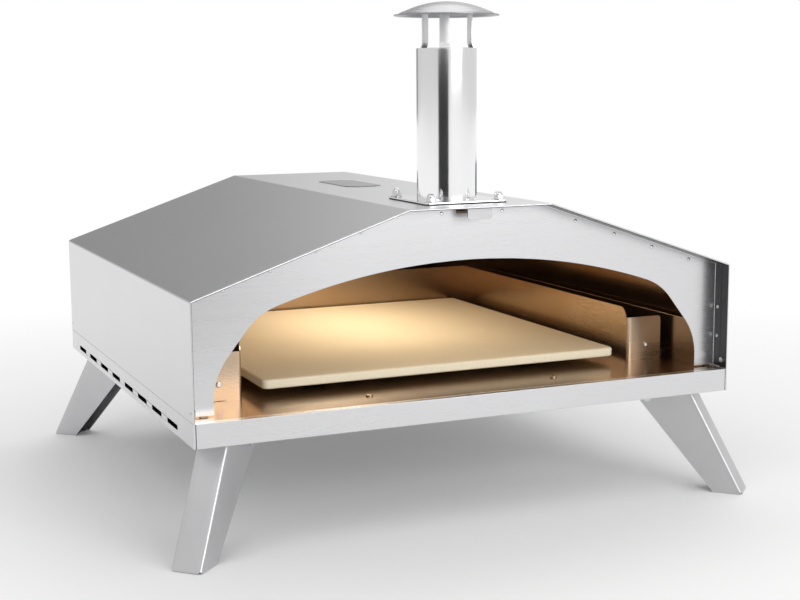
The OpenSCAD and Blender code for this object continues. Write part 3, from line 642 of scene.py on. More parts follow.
def material(name):
    """The finish of a material slot, made once."""
    if name in MADE:
        return MADE[name]
    c = finishes()
    tidy = {key: tuple(getattr(c, key)) for key in
            ("steel", "polished", "satin", "bronze", "straw", "stone", "stone_side", "soot", "badge")}
    axis = plan_centre("flue_pipe")
    pan_low, pan_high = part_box("base_pan")

    def corner_seam(x, y, z):
        """Thin upright seams where the front band meets the side bands."""
        edge = abs(x) - (pan_high.x - 0.0024)
        return (1 - abs(edge).over(0.0004, 0.0003)) * (1 - y.over(pan_low.y + 0.0006, 0.0002))

    makers = {
        "brushed_shell": lambda n: brushed(n, tidy["steel"], (16, 1100, 16), 0.30),
        "brushed_panel": lambda n: brushed(n, tidy["steel"], (16, 1100, 1100), 0.28),
        "brushed_band": lambda n: brushed(n, tidy["steel"], (16, 16, 1100), 0.28, corner_seam),
        # painted shade: near-black steel on the shell's hems and the front panel's flange, standing in for
        # the shade in the recess between them
        "hem_steel": lambda n: mill_steel(n, (0.10, 0.10, 0.105), 0.30),
        "leg_steel": lambda n: satin_steel(n, tidy["satin"]),
        "plain_steel": lambda n: mill_steel(n, (0.58, 0.58, 0.59)),
        "strut_steel": lambda n: satin_steel(n, (0.86, 0.86, 0.87), 0.48),
        "bolt_steel": lambda n: bolt_steel(n, (0.82, 0.82, 0.83)),
        "cap_steel": lambda n: ringed_steel(n, (0.34, 0.34, 0.35), axis),
        "polished_steel": lambda n: polished_steel(n, tidy["polished"]),
        "tinted_steel": lambda n: heat_tinted(n, tidy["bronze"], times(tidy["straw"], 0.8)),
        "straw_steel": lambda n: heat_tinted(n, times(tidy["bronze"], 1.15), tidy["straw"], 0.24,
                                             (12, 12, 500), 0.75),
        "sooted_steel": lambda n: sooted_steel(n, tidy["soot"], times(tidy["bronze"], 0.6)),
        "baking_stone": lambda n: baking_stone(n, tidy["stone"], tidy["stone_side"],
                                               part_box("pizza_stone")[1].z),
        "fibre_blanket": lambda n: fibre(n, (0.86, 0.84, 0.78)),
        "flue_gasket": gasket,
        "black_badge": lambda n: badge_enamel(n, tidy["badge"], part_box("name_plate")),
        "studio_floor": lambda n: studio_floor(n, tuple(c.floor)),
        "studio_flag": lambda n: fibre(n, (0.004, 0.004, 0.004)),
    }
    MADE[name] = makers[name](name + "_finish")
    return MADE[name]


# ---------------------------------------------------------------- operators


class OVEN_OT_stage(bpy.types.Operator):
    """Sets up the pale floor, the soft studio lights and the camera."""

    bl_idname = "oven.stage"
    bl_label = "Studio"

    def execute(self, context):
        scene = context.scene
        x, y = np.linspace(-14, 14, 29), np.linspace(-14, 14, 29)
        floor = Piece().grid(shaped(x[None, :], y[:, None], -0.0002))
        mesh = bpy.data.meshes.new("studio_floor")
        mesh.from_pydata(floor.points[0].tolist(), [], floor.quads[0].tolist())
        mesh.materials.append(material("studio_floor"))
        ground = bpy.data.objects.new("studio_floor", mesh)
        scene.collection.objects.link(ground)
        self.world(scene)
        target = Vector((0, 0, 0.2))
        for name, place, size, power in (
            ("key_softbox", (-1.5, -1.3, 2.4), (1.8, 1.8), 15),
            ("top_softbox", (0.6, 1.3, 2.4), (2.4, 1.4), 16),
            ("mouth_softbox", (0.5, -2.2, 0.9), (1.6, 0.8), 15),
        ):
            lamp = self.lamp(scene, name, place, size, power)
            lamp.rotation_mode = "QUATERNION"
            lamp.rotation_quaternion = (target - Vector(place)).to_track_quat("-Z", "Y")
        glow = self.lamp(scene, "oven_glow", (0, 0.06, 0.305), (0.12, 0.3), 0.48)
        glow.data.color = (1, 0.88, 0.72)
        self.flags(scene)
        self.camera(scene)
        scene.view_settings.view_transform = "Standard"
        return {"FINISHED"}

    def lamp(self, scene, name, place, size, power):
        """A rectangular area lamp that shines straight down until it is turned."""
        data = bpy.data.lights.new(name, "AREA")
        data.shape, data.size, data.size_y, data.energy = "RECTANGLE", *size, power
        lamp = bpy.data.objects.new(name, data)
        lamp.location = place
        scene.collection.objects.link(lamp)
        return lamp

    def flags(self, scene):
        """Black studio flags that only show as dark lines in polished metal."""
        for name, centre, wide, tall in (("front_flag", (-1.10, -1.62), 1.25, 0.5),
                                         ("panel_flag", (-0.05, -1.45), 0.44, 0.15),
                                         ("rear_flag", (1.35, 1.1), 1.0, 0.26)):
            at = Vector((*centre, 0))
            side = Vector((0, 0, 1)).cross(at).normalized() * wide / 2
            up = Vector((0, 0, tall))
            corners = [at - side, at + side, at + side + up, at - side + up]
            mesh = bpy.data.meshes.new(name)
            mesh.from_pydata([tuple(c) for c in corners], [], [(0, 1, 2, 3)])
            mesh.materials.append(material("studio_flag"))
            flag = bpy.data.objects.new(name, mesh)
            flag.visible_camera = flag.visible_diffuse = flag.visible_shadow = False
            scene.collection.objects.link(flag)

    def world(self, scene):
        """A soft dome: grey behind to the left, bright to the right, white where the camera sees it."""
        world = bpy.data.worlds.new("studio")
        world.use_nodes = True
        f = Nodes(world.node_tree)
        way = f.add("ShaderNodeTexCoord", {}, {}, "Generated")
        height = f.add("ShaderNodeSeparateXYZ", {}, {0: way}, 2)
        side = f.add("ShaderNodeVectorMath", {"operation": "DOT_PRODUCT"},
                     {0: way, 1: (0.93, -0.36, 0)}, "Value")
        by_height = ((0.0, 0.80), (0.15, 0.85), (0.34, 1.0), (1.0, 0.72))
        by_side = ((0.0, 0.85), (0.18, 0.80), (0.29, 0.32), (0.41, 0.34), (0.55, 1.0), (1.0, 0.9))
        tones = [f.add("ShaderNodeValToRGB", {"stops": [(at, (tone,) * 3) for at, tone in stops]}, {0: share})
                 for share, stops in ((height, by_height),
                                      (side.maths("MULTIPLY_ADD", side, 0.5, 0.5), by_side))]
        both = f.add("ShaderNodeMix", {"data_type": "RGBA", "blend_type": "MULTIPLY"},
                     {0: 1, 6: tones[0], 7: tones[1]}, 2)
        dome = f.add("ShaderNodeBackground", {}, {0: both})
        plain = f.add("ShaderNodeBackground", {}, {0: (1, 1, 1)})
        seen = f.add("ShaderNodeLightPath", {}, {}, "Is Camera Ray")
        pick = f.add("ShaderNodeMixShader", {}, {0: seen, 1: dome, 2: plain})
        f.links.new(pick.socket, f.nodes.new("ShaderNodeOutputWorld").inputs[0])
        scene.world = world

    def camera(self, scene):
        """Looks from the front left, a little above the roof's edge, with the slightest roll."""
        turn, rise, roll = np.radians([-23.75, 8.79, -0.39])
        back = Vector((np.sin(turn) * np.cos(rise), -np.cos(turn) * np.cos(rise), np.sin(rise)))
        side = (-back).cross(Vector((0, 0, 1))).normalized()
        up = side.cross(-back)
        right = side * np.cos(roll) + up * np.sin(roll)
        top = up * np.cos(roll) - side * np.sin(roll)
        data = bpy.data.cameras.new("camera")
        data.sensor_width, data.lens = 36, 64.36
        data.clip_start, data.clip_end = 0.01, 100
        camera = bpy.data.objects.new("camera", data)
        place = Matrix((right, top, back)).transposed().to_4x4()
        place.translation = (-0.6440, -1.5441, 0.4513)
        camera.matrix_world = place
        scene.collection.objects.link(camera)
        scene.camera = camera


class OVEN_OT_shell(bpy.types.Operator):
    """Folds the outer shell: side walls, two slopes and a flat roof from one sheet, hemmed at both ends."""

    bl_idname = "oven.shell"
    bl_label = "Outer shell"

    def execute(self, context):
        b, s = Body(), sizes()
        t = s.sheet
        axis = plan_centre("flue_pipe")
        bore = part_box("flue_pipe")[1].x - s.pipe_wall
        hole = bore + 0.006
        fold = np.linspace(0, np.pi, 9)
        inset = t * (1 + np.cos(fold))
        reach = t * (1 - np.sin(fold))
        depth = b.back - b.front
        middle = np.sort(np.concatenate([[t + 0.0003, depth - t - 0.0003],
                                         np.linspace(s.hem + 0.004, depth - s.hem - 0.004, 12),
                                         [axis[1] - hole - b.front, axis[1] + hole - b.front]]))
        deep = np.concatenate([[s.hem, t + 0.0003], reach, middle, depth - reach[::-1],
                               [depth - t - 0.0003, depth - s.hem]])
        set_in = np.concatenate([[2 * t] * 2, inset, np.zeros(len(middle)), inset[::-1], [2 * t] * 2])
        # P(u, v): the house outline set in by inset(v), carried to depth y(v)
        rows = np.stack([b.outline(i, b.foot + 0.0003, (hole, 0.06), radius=b.bend + 0.0006) for i in set_in])
        p = shaped(rows[..., 0], (b.front + deep)[:, None], rows[..., 1])
        x, y = p[..., 0], p[..., 1]
        over = abs(x[:-1, :-1] + x[1:, 1:]) / 2 < hole
        over &= abs((y[:-1, :-1] + y[1:, 1:]) / 2 - axis[1]) < hole
        over &= (p[:-1, :-1, 2] > b.roof - 0.0004) & (p[1:, 1:, 2] > b.roof - 0.0004)
        # painted shade: the five rows at each end, the hems, take the near-black second finish for the shade
        # of the end recesses
        hem_shade_rows = np.zeros(p.shape[0] - 1, int)
        hem_shade_rows[:5] = hem_shade_rows[-5:] = 1
        numbers = np.broadcast_to(hem_shade_rows[:, None], over.shape)
        shell = Piece().grid(p, keep=~over, number=numbers)
        # ring round the flue's hole: (1 - t) circle + t square, at the roof's height
        turn = all_round(48) + np.pi / 4
        cos, sin = np.cos(turn), np.sin(turn)
        square = hole / np.maximum(abs(cos), abs(sin))
        share = np.linspace(0, 1, 3)[:, None]
        radius = (1 - share) * bore + share * square
        ring = shaped(axis[0] + radius * cos, axis[1] + radius * sin, b.roof)
        shell.grid(ring, wrap=True, flip=True)
        shell.make("shell_sheet", "oven", "brushed_shell", ["outer_shell"], ("brushed_shell", "hem_steel"),
                   wall=t * SHOWN_WALL)
        return {"FINISHED"}


class OVEN_OT_front_panel(bpy.types.Operator):
    """Cuts the front panel with its arched mouth, its flange folded forwards and the damper's notch."""

    bl_idname = "oven.front_panel"
    bl_label = "Front panel"

    def execute(self, context):
        b, s = Body(), sizes()
        t = s.sheet
        low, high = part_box("front_panel")
        face, lip = high.y - t, low.y
        notch_half, notch_drop = s.notch / 2, s.notch_drop
        foot = b.foot + 0.0015
        outer = b.outline(t, foot, (notch_half, 0.045), radius=b.bend + t)
        half = b.arch()
        jamb = np.array([[half[-1, 0], foot]])
        chain = np.concatenate([half, jamb])
        # match the arch to the outline: straight above one another below the flat roof, and by share of
        # length beside it
        n = len(outer)
        top = outer[:, 0][(n // 2):]
        side = np.concatenate([[0], np.cumsum(np.linalg.norm(np.diff(outer[n // 2:], axis=0), axis=1))])
        share = side / side[-1]
        step = np.concatenate([[0], np.cumsum(np.linalg.norm(np.diff(chain, axis=0), axis=1))])
        share_arch = share * step[-1]
        level = top < b.flat - 0.001
        at_x = np.interp(top, chain[:, 0], step)
        first = np.argmin(level) if not level.all() else len(level)
        rest = (share_arch - share_arch[first - 1]) / (step[-1] - share_arch[first - 1])
        mapped = np.where(level, at_x, at_x[first - 1] + rest * (step[-1] - at_x[first - 1]))
        right = np.stack([np.interp(mapped, step, chain[:, i]) for i in range(2)], -1)
        inner = np.concatenate([right[:0:-1] * [-1, 1], right])
        drop = outer + (inner - outer) * 0.12
        drop[abs(outer[:, 0]) < b.flat - 0.001] = (
            outer[abs(outer[:, 0]) < b.flat - 0.001] - [0, notch_drop])
        share = np.linspace(0, 1, 9)[:, None, None]
        flat = inner + (drop - inner) * share
        rows = shaped(flat[..., 0], face, flat[..., 1])
        # fold from the flat face into the flange that runs forwards: these rows are the hollow side that
        # shows, two sheets in from the shell's face, and the wall is given outwards to the shell
        bend = 0.0006
        shown = b.outline(2 * t, foot, (notch_half, 0.045), radius=b.bend + t)
        fold = np.linspace(0, np.pi / 2, 5)
        edge = []
        held = b.outline(2 * t + bend + 0.0003, foot, (notch_half, 0.045), radius=b.bend + t)
        edge.append(shaped(held[:, 0], face, held[:, 1]))
        for a in fold:
            ring = b.outline(2 * t + bend * (1 - np.sin(a)), foot, (notch_half, 0.045), radius=b.bend + t)
            edge.append(shaped(ring[:, 0], face - bend * (1 - np.cos(a)), ring[:, 1]))
        edge.append(shaped(shown[:, 0], face - bend - 0.0003, shown[:, 1]))
        edge.append(shaped(shown[:, 0], lip, shown[:, 1]))
        p = np.concatenate([rows, np.stack(edge)])
        x = p[..., 0]
        mid = abs(x[:-1, :-1] + x[1:, 1:]) / 2
        row = np.arange(p.shape[0] - 1)[:, None]
        face_rows = len(rows) - 1
        flange = row >= face_rows + len(fold)
        gap = (mid < notch_half) & (row >= face_rows) & ~flange
        # painted shade: the flange rows take the near-black second finish for the shade inside the recess
        # behind the shell's hem
        Piece().grid(p, keep=~gap, number=np.broadcast_to(flange.astype(int), gap.shape)).make(
            "front_sheet", "oven", "brushed_panel", ["front_panel"], ("brushed_panel", "hem_steel"),
            wall=t * SHOWN_WALL)
        return {"FINISHED"}


class OVEN_OT_rear_panel(bpy.types.Operator):
    """Closes the back with a plain sheet, its flange folded inwards."""

    bl_idname = "oven.rear_panel"
    bl_label = "Rear panel"

    def execute(self, context):
        b, s = Body(), sizes()
        t = s.sheet
        low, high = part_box("rear_panel")
        outer = b.outline(t, b.foot, (0.03, 0.06), radius=b.bend + t)
        bend = 0.0016
        near = b.outline(t + bend + 0.0003, b.foot, (0.03, 0.06), radius=b.bend + t)
        share = np.linspace(0, 1, 7)[:, None, None]
        # the face spreads like a star from the middle of its foot: centre + share * (edge - centre)
        centre = np.array([0.0, b.foot])
        flat = centre + (near - centre) * share
        rows = shaped(flat[..., 0], high.y, flat[..., 1])
        edge = []
        for a in np.linspace(0, np.pi / 2, 5):
            ring = b.outline(t + bend * (1 - np.sin(a)), b.foot, (0.03, 0.06), radius=b.bend + t)
            edge.append(shaped(ring[:, 0], high.y - bend * (1 - np.cos(a)), ring[:, 1]))
        edge.append(shaped(outer[:, 0], high.y - bend - 0.0003, outer[:, 1]))
        edge.append(shaped(outer[:, 0], low.y, outer[:, 1]))
        p = np.concatenate([rows, np.stack(edge)])
        Piece().grid(p, flip=True).make("rear_sheet", "oven", "brushed_panel", ["rear_panel"],
                                        wall=t * SHOWN_WALL)
        return {"FINISHED"}


class OVEN_OT_stone(bpy.types.Operator):
    """Presses the baking stone: a flat slab with rounded corners and softened edges."""

    bl_idname = "oven.stone"
    bl_label = "Baking stone"

    def execute(self, context):
        s = sizes()
        low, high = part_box("pizza_stone")
        half = np.array([(high.x - low.x) / 2, (high.y - low.y) / 2])
        mid = plan_centre("pizza_stone")
        e = s.stone_edge
        base = rounded_rectangle(half[0], half[1], s.stone_corner, 8)
        # rows run from the underside's middle round the edge to the top's middle; d is the distance set in
        turn = np.linspace(-np.pi / 2, 0, 6)
        d = np.concatenate([e * (1 - np.cos(turn)), e * (1 - np.cos(-turn[::-1]))])
        z = np.concatenate([low.z + e + e * np.sin(turn), high.z - e - e * np.sin(turn[::-1])])
        scale = 1 - d[:, None, None] / half
        rows = base * scale
        centre = np.array([0.9, 0.5, 0.0])[:, None, None]
        rows = np.concatenate([rows[:1] * centre[::-1], rows, rows[-1:] * centre])
        z = np.concatenate([[low.z] * 3, z, [high.z] * 3])
        p = shaped(rows[..., 0] + mid[0], rows[..., 1] + mid[1], z[:, None])
        Piece().grid(p, wrap=True).make("stone_slab", "stone", "baking_stone", ["pizza_stone"],
                                        crease=60)
        return {"FINISHED"}


class OVEN_OT_baffles(bpy.types.Operator):
    """Bends the two side baffles, each turned out through a soft bend into its end cap."""

    bl_idname = "oven.baffles"
    bl_label = "Side baffles"

    def execute(self, context):
        for name, side in (("left_baffle", -1), ("right_baffle", 1)):
            low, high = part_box(name)
            x0, x1 = min(abs(low.x), abs(high.x)), max(abs(low.x), abs(high.x))
            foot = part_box("floor_plate")[1].z
            tall, cap = high.z - foot, 0.049
            bend, t = 0.004, 0.001
            corner, nose = 0.004, 0.011
            a = np.linspace(np.pi, 1.5 * np.pi, 9)
            arc = np.stack([x0 + bend + bend * np.cos(a), low.y + bend + bend * np.sin(a)], -1)
            along = np.concatenate([np.linspace(high.y, low.y + bend + 0.012, 6),
                                    low.y + bend + np.linspace(0.0115, 0.0005, 8)])
            wall = np.stack([np.full(len(along), x0), along], -1)
            across = np.concatenate([np.linspace(x0 + bend + 0.002, x1 - corner, 6),
                                     x1 - corner + corner * np.sin(np.linspace(0.2, np.pi / 2, 6))])
            face = np.stack([across, np.full(len(across), low.y)], -1)
            path = np.concatenate([wall, arc, face])
            # height along the path: full on the baffle, rounded down to the cap's by its front corner
            down = np.clip((low.y + bend + nose - path[:, 1]) / nose, 0, 1)
            rise = tall + (cap - tall) * (1 - np.sqrt(1 - down ** 2))
            end = np.clip((path[:, 0] - (x1 - corner)) / corner, 0, 1)
            rise = rise - corner * (1 - np.sqrt(1 - end ** 2))
            share = np.array([0, 0.02, 0.3, 0.6, 0.9, 0.98, 1.0])[:, None]
            p = shaped(side * path[:, 0], path[:, 1], foot + share * rise)
            piece = Piece().grid(p, flip=side < 0)
            # screwed flange along the foot, running out under the fire
            out = np.array([x0 + 0.0005, x0 + 0.004, x0 + 0.011])[:, None]
            run = np.linspace(low.y + 0.02, high.y - 0.02, 6)
            piece.grid(shaped(side * out, run, foot + t), flip=side > 0)
            # tab down through the floor
            tab = np.array([x1 - 0.024, x1 - 0.014])
            piece.grid(shaped(side * tab, low.y, np.array([low.z, foot - 0.0001])[:, None]), flip=side < 0)
            piece.make(name + "_sheet", "oven", "tinted_steel", [name], ("straw_steel",), wall=t * SHOWN_WALL)
        return {"FINISHED"}


class OVEN_OT_flue_pipe(bpy.types.Operator):
    """Turns the flue pipe: a polished tube with softened rims."""

    bl_idname = "oven.flue_pipe"
    bl_label = "Flue pipe"

    def execute(self, context):
        s = sizes()
        low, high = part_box("flue_pipe")
        r, w = (high.x - low.x) / 2, s.pipe_wall
        mid = plan_centre("flue_pipe")
        e = w * 0.45
        foot, top = low.z, high.z
        body = np.linspace(foot + 0.002, top - 0.002, 5)
        profile = np.concatenate([
            [[r - e, foot], [r, foot + e]], np.stack([np.full(5, r), body], -1),
            quarter((r - e, top - e), e, 0, 90), quarter((r - w + e, top - e), e, 90, 180),
            np.stack([np.full(5, r - w), body[::-1]], -1),
            [[r - w, foot + e], [r - w + e, foot], [r - e, foot]]])
        Piece().grid(turned(profile, mid, 128), wrap=True).make(
            "flue_tube", "oven", "polished_steel", ["flue_pipe"])
        return {"FINISHED"}


class OVEN_OT_flue_cap(bpy.types.Operator):
    """Spins the rain cap: a shallow dome over a sloping brim with a rolled rim."""

    bl_idname = "oven.flue_cap"
    bl_label = "Rain cap"

    def execute(self, context):
        s = sizes()
        low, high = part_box("flue_cap")
        mid = plan_centre("flue_cap")
        rim, dome = (high.x - low.x) / 2, s.dome / 2
        edge = low.z + s.brim + 0.0006
        rise = high.z - edge
        ball = (dome ** 2 + rise ** 2) / (2 * rise)
        r = np.linspace(0, dome - 0.0015, 16)
        crown = np.stack([r, high.z - ball + np.sqrt(ball ** 2 - r ** 2)], -1)
        t = 0.001
        skirt = np.array([[dome + 0.0015, edge - 0.0001], [rim - 0.004, low.z + 0.0018]])
        roll = quarter((rim - 0.0007, low.z + 0.0007), 0.0007, 80, -90, 7)
        outer = np.concatenate([crown, skirt, roll])
        inner = np.array([[rim - 0.004, low.z + 0.0006], [dome + 0.001, edge - t - 0.0002]])
        under = np.stack([r[::-1], crown[::-1, 1] - t], -1)
        profile = np.concatenate([outer, inner, under])
        Piece().grid(turned(profile, mid, 128), wrap=True, flip=True).make(
            "rain_cap", "oven", "cap_steel", ["flue_cap"], crease=28)
        return {"FINISHED"}


class OVEN_OT_cap_struts(bpy.types.Operator):
    """Bends the three flat struts that carry the rain cap, each joggled in above the pipe."""

    bl_idname = "oven.cap_struts"
    bl_label = "Cap struts"

    def execute(self, context):
        s = sizes()
        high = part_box("flue_pipe")[1]
        mid = plan_centre("flue_pipe")
        top, bore = high.z, high.x - s.pipe_wall
        wide, t = 0.010, 0.0015
        foot_r = np.sqrt(bore ** 2 - wide ** 2 / 4) - 0.00008
        top_r = foot_r - 0.002
        cap_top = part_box("cap_strut_right")[1].z
        spine = smooth_path([(foot_r, top - 0.014), (foot_r, top + 0.0006), (top_r, top + 0.005),
                             (top_r, cap_top), (top_r - 0.009, cap_top)], [0.0022, 0.0022, 0.0028])
        tangent = np.gradient(spine, axis=0)
        tangent /= np.linalg.norm(tangent, axis=1)[:, None]
        inward = np.stack([-tangent[:, 1], tangent[:, 0]], -1)
        ring = rounded_rectangle(wide / 2, t / 2, 0.0003, 3)
        for name, turn in (("right", 0), ("rear", 120), ("front", 240)):
            # section across (width, thickness) carried along the spine in the plane of radius and height
            across = ring[None, :, 0]
            deep = ring[None, :, 1] + t / 2
            radius = spine[:, :1] + inward[:, :1] * deep
            height = spine[:, 1:] + inward[:, 1:] * deep
            a = np.radians(turn)
            wide_row = np.broadcast_to(across, radius.shape)
            p = shaped(mid[0] + radius * np.cos(a) - wide_row * np.sin(a),
                       mid[1] + radius * np.sin(a) + wide_row * np.cos(a), height)
            ends = [np.broadcast_to(q.mean(0), q.shape)[None] for q in (p[0], p[-1])]
            p = np.concatenate([ends[0], p, ends[1]])
            Piece().grid(p, wrap=True).make(
                "strut_" + name, "oven", "plain_steel", ["cap_strut_" + name], ("strut_steel",))
        return {"FINISHED"}


class OVEN_OT_flue_flange(bpy.types.Operator):
    """Presses the flange plate round the flue, with rounded corners and eased edges."""

    bl_idname = "oven.flue_flange"
    bl_label = "Flue flange"

    def execute(self, context):
        low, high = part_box("flue_flange")
        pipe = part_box("flue_pipe")[1].x
        half = ((high.x - low.x) / 2, (high.y - low.y) / 2)
        mid = plan_centre("flue_flange")
        outline = rounded_rectangle(*half, 0.004, 12)
        turn = np.arctan2(outline[:, 1], outline[:, 0])
        circle = (pipe + 0.00006) * np.stack([np.cos(turn), np.sin(turn)], -1)
        e = 0.0005
        inner = circle * (1 + 0.0012 / pipe)
        # rows: bore, collar fillet, plate out to the edge, round the edge, and back underneath
        size = np.linalg.norm(outline, axis=1)[:, None]
        set_in = outline * (1 - e / size)
        rows, z = zip((circle, low.z), (circle, high.z + 0.0009),
                      (circle * (1 + 0.0003 / pipe), high.z + 0.0010),
                      (circle * (1 + 0.0007 / pipe), high.z + 0.0003), (inner, high.z),
                      (inner * 0.5 + set_in * 0.5, high.z), (set_in, high.z),
                      (outline * (1 - 0.3 * e / size), high.z - 0.3 * e),
                      (outline, high.z - e), (outline, low.z + e * 0.4), (set_in, low.z),
                      (circle, low.z))
        rows = np.stack(rows)
        p = shaped(rows[..., 0] + mid[0], rows[..., 1] + mid[1], np.array(z)[:, None])
        Piece().grid(p, wrap=True, flip=True).make(
            "flange_plate", "oven", "polished_steel", ["flue_flange"], crease=28)
        return {"FINISHED"}


class OVEN_OT_flange_bolts(bpy.types.Operator):
    """Sets the flange's four studs with washers and domed nuts."""

    bl_idname = "oven.flange_bolts"
    bl_label = "Flange bolts"

    def execute(self, context):
        low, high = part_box("flange_bolts")
        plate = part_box("flue_flange")[1].z
        places = [(x, y) for x in (low.x + 0.006, high.x - 0.006) for y in (low.y + 0.006, high.y - 0.006)]
        a = all_round(48)
        # hexagon of the nut: radius = flat / cos(angle to the nearest flat), blended to a circle by the crown
        hexagon = 0.0045 / np.cos((a % (np.pi / 3)) - np.pi / 6)
        tall = high.z - plate
        # share of hexagon, radius and height: the washer, the nut and the foot of its crown
        profile = [(0.0, 0.0, 0.0), (0.0, 0.0058, 0.0), (0.0, 0.0060, 0.0002), (0.0, 0.0060, 0.0008),
                   (0.0, 0.0058, 0.0010), (1.0, 0.0045, 0.0010), (1.0, 0.0045, 0.0044),
                   (0.45, 0.0044, 0.0049), (0.0, 0.0042, 0.0053)]
        crown = [(0.0, 0.0042 * np.cos(t), 0.0053 + (tall - 0.0053) * np.sin(t))
                 for t in np.linspace(0.2, np.pi / 2, 7)]
        share, radius, height = np.array(profile + crown).T
        shape = share[:, None] * hexagon + (1 - share[:, None]) * radius[:, None]
        piece = Piece()
        for x, y in places:
            piece.grid(shaped(x + shape * np.cos(a), y + shape * np.sin(a), plate + height[:, None]),
                       wrap=True)
            shank = [(0.0, low.z), (0.004, low.z), (0.004, low.z + 0.002), (0.0025, low.z + 0.002),
                     (0.0025, plate - 0.0002), (0.0, plate - 0.0002)]
            piece.grid(turned(shank, (x, y), 24), wrap=True)
        piece.make("domed_nuts", "oven", "bolt_steel", ["flange_bolts"], crease=30)
        return {"FINISHED"}


class OVEN_OT_legs(bpy.types.Operator):
    """Folds the four legs: channels with rounded bends and a turned-in foot, narrowing to the ground."""

    bl_idname = "oven.legs"
    bl_label = "Legs"

    def execute(self, context):
        s, b = sizes(), Body()
        tall = b.under
        lean = np.tan(s.leg_splay)
        foot_u = tall * lean
        half, r, t = s.leg_width / 2, s.leg_bend, s.leg_sheet
        gap, pin_u, pin_w, knuckle = 0.0005, -0.047, -0.010, 0.0095
        # inner edge of a flange: straight from the heel, tangent to the knuckle, then over its top
        heel = np.array([foot_u - s.foot, -tall])
        d = np.array([pin_u, pin_w]) - heel
        far = np.linalg.norm(d)
        tilt = np.arctan2(d[1], d[0]) + np.arcsin(knuckle / far)
        touch = tilt + np.pi / 2
        arc = np.linspace(touch, np.pi / 2, 9)
        curve = np.stack([pin_u + knuckle * np.cos(arc), pin_w + knuckle * np.sin(arc)], -1)
        straight = heel + (curve[0] - heel) * np.linspace(0, 1, 9)[:-1, None]
        inner = np.concatenate([straight, curve])[::-1]
        relief = 0.0022
        w = np.concatenate([[-gap, -gap - 0.0025], np.linspace(-0.006, -tall + 0.006, len(inner) - 4),
                            [-tall + relief, -tall]])
        web = -w * lean
        # rows run down the leg, columns run from one flange's edge round the web to the other's
        arcs = np.linspace(0, np.pi / 2, 6)
        share = np.linspace(1, 0, 6)[:, None]
        bend_from = len(share) - 1
        web_from = bend_from + len(arcs) - 1
        for name, (sx, sy) in CORNERS.items():
            start = np.stack([web - r, w], -1)
            side = start[None] + (inner - start)[None] * share[..., None]
            flange = shaped(side[..., 0], half, side[..., 1])
            bend = shaped((web - r)[None] + r * np.sin(arcs)[1:, None],
                          (half - r + r * np.cos(arcs)[1:, None]), w[None])
            face = shaped(web[None], (half - r) * np.linspace(1, -1, 7)[1:-1, None], w[None])
            columns = np.concatenate([flange, bend, face, (bend * [1, -1, 1])[::-1],
                                      (flange * [1, -1, 1])[::-1]])
            p = columns.transpose(1, 0, 2)
            rows = np.arange(p.shape[0] - 1)[:, None]
            cols = np.arange(p.shape[1] - 1)
            from_edge = np.minimum(cols, cols[::-1])[None]
            in_bend = (from_edge >= bend_from) & (from_edge < web_from)
            last = rows == p.shape[0] - 2
            cut = (in_bend & ((rows == 0) | last)) | ((from_edge >= web_from) & last)
            piece = Piece().grid(p, keep=~cut)
            # the web turns in at the ground to close the foot
            turn = smooth_path([(web[-2], w[-2]), (foot_u, -tall), (foot_u - s.foot, -tall)], [0.0021])
            across = (half - r) * np.linspace(1, -1, 7)
            piece.grid(shaped(turn[:, 0][:, None], across[None], turn[:, 1][:, None]))
            for points in piece.points:
                self.to_corner(points, b, s, sx, sy)
            piece.make("leg_" + name + "_channel", name + "_leg", "leg_steel", ["leg_" + name],
                       wall=t * LEG_WALL)
        return {"FINISHED"}

    def to_corner(self, points, b, s, sx, sy):
        """Turns points from the leg's own frame (out, across, up) to its corner of the base."""
        u, v, w = points.T.copy()
        c = np.sqrt(0.5)
        points[:, 0] = sx * (b.half - s.setback) + c * (sx * u - sy * v)
        points[:, 1] = sy * ((b.back - b.front) / 2 - s.setback) + c * (sy * u + sx * v)
        points[:, 2] = b.under + w


class OVEN_OT_rivets(bpy.types.Operator):
    """Sets low domed rivets along both end panels and in the shell's flanges."""

    bl_idname = "oven.rivets"
    bl_label = "Rivets"

    def execute(self, context):
        b = Body()
        inset = 0.0075
        t = np.linspace(0, np.pi / 2, 5)
        radius, rim, crown = 0.0020, 0.00015, 0.00065
        dome_r = np.concatenate([[0.0, 0.0019, radius], radius * np.cos(t[1:])])
        dome_h = np.concatenate([[0.0, 0.0, rim], rim + crown * np.sin(t[1:])])
        a = all_round(16)
        xs = np.concatenate([[0.034], b.flat + 0.041 + np.arange(4) * (b.half - 0.038 - b.flat - 0.041) / 3])
        zs = np.where(xs < b.flat, b.roof - inset,
                      b.roof - (xs - b.flat) * np.tan(b.slope) - inset / np.cos(b.slope))
        ring_x, ring_z = dome_r[:, None] * np.cos(a), dome_r[:, None] * np.sin(a)
        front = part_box("front_panel")[1].y - sizes().sheet
        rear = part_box("rear_panel")[1].y
        for name, y, out in (("front_rivets", front, -1), ("rear_rivets", rear, 1)):
            piece = Piece()
            for x, z in zip(np.concatenate([-xs, xs]), np.concatenate([zs, zs])):
                piece.grid(shaped(x + ring_x, y + out * dome_h[:, None], z + ring_z), wrap=True, flip=out > 0)
            piece.make(name + "_heads", "oven", "bolt_steel", [name])
        low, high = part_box("side_rivets")
        piece = Piece()
        for side in (-1, 1):
            for y in (low.y + 0.002, high.y - 0.002):
                for z in (low.z + 0.002, high.z - 0.002):
                    x = side * (b.half - 2 * sizes().sheet - dome_h[:, None])
                    piece.grid(shaped(x, y + ring_x, z + ring_z), wrap=True, flip=side > 0)
        piece.make("side_rivets_heads", "oven", "bolt_steel", ["side_rivets"])
        return {"FINISHED"}


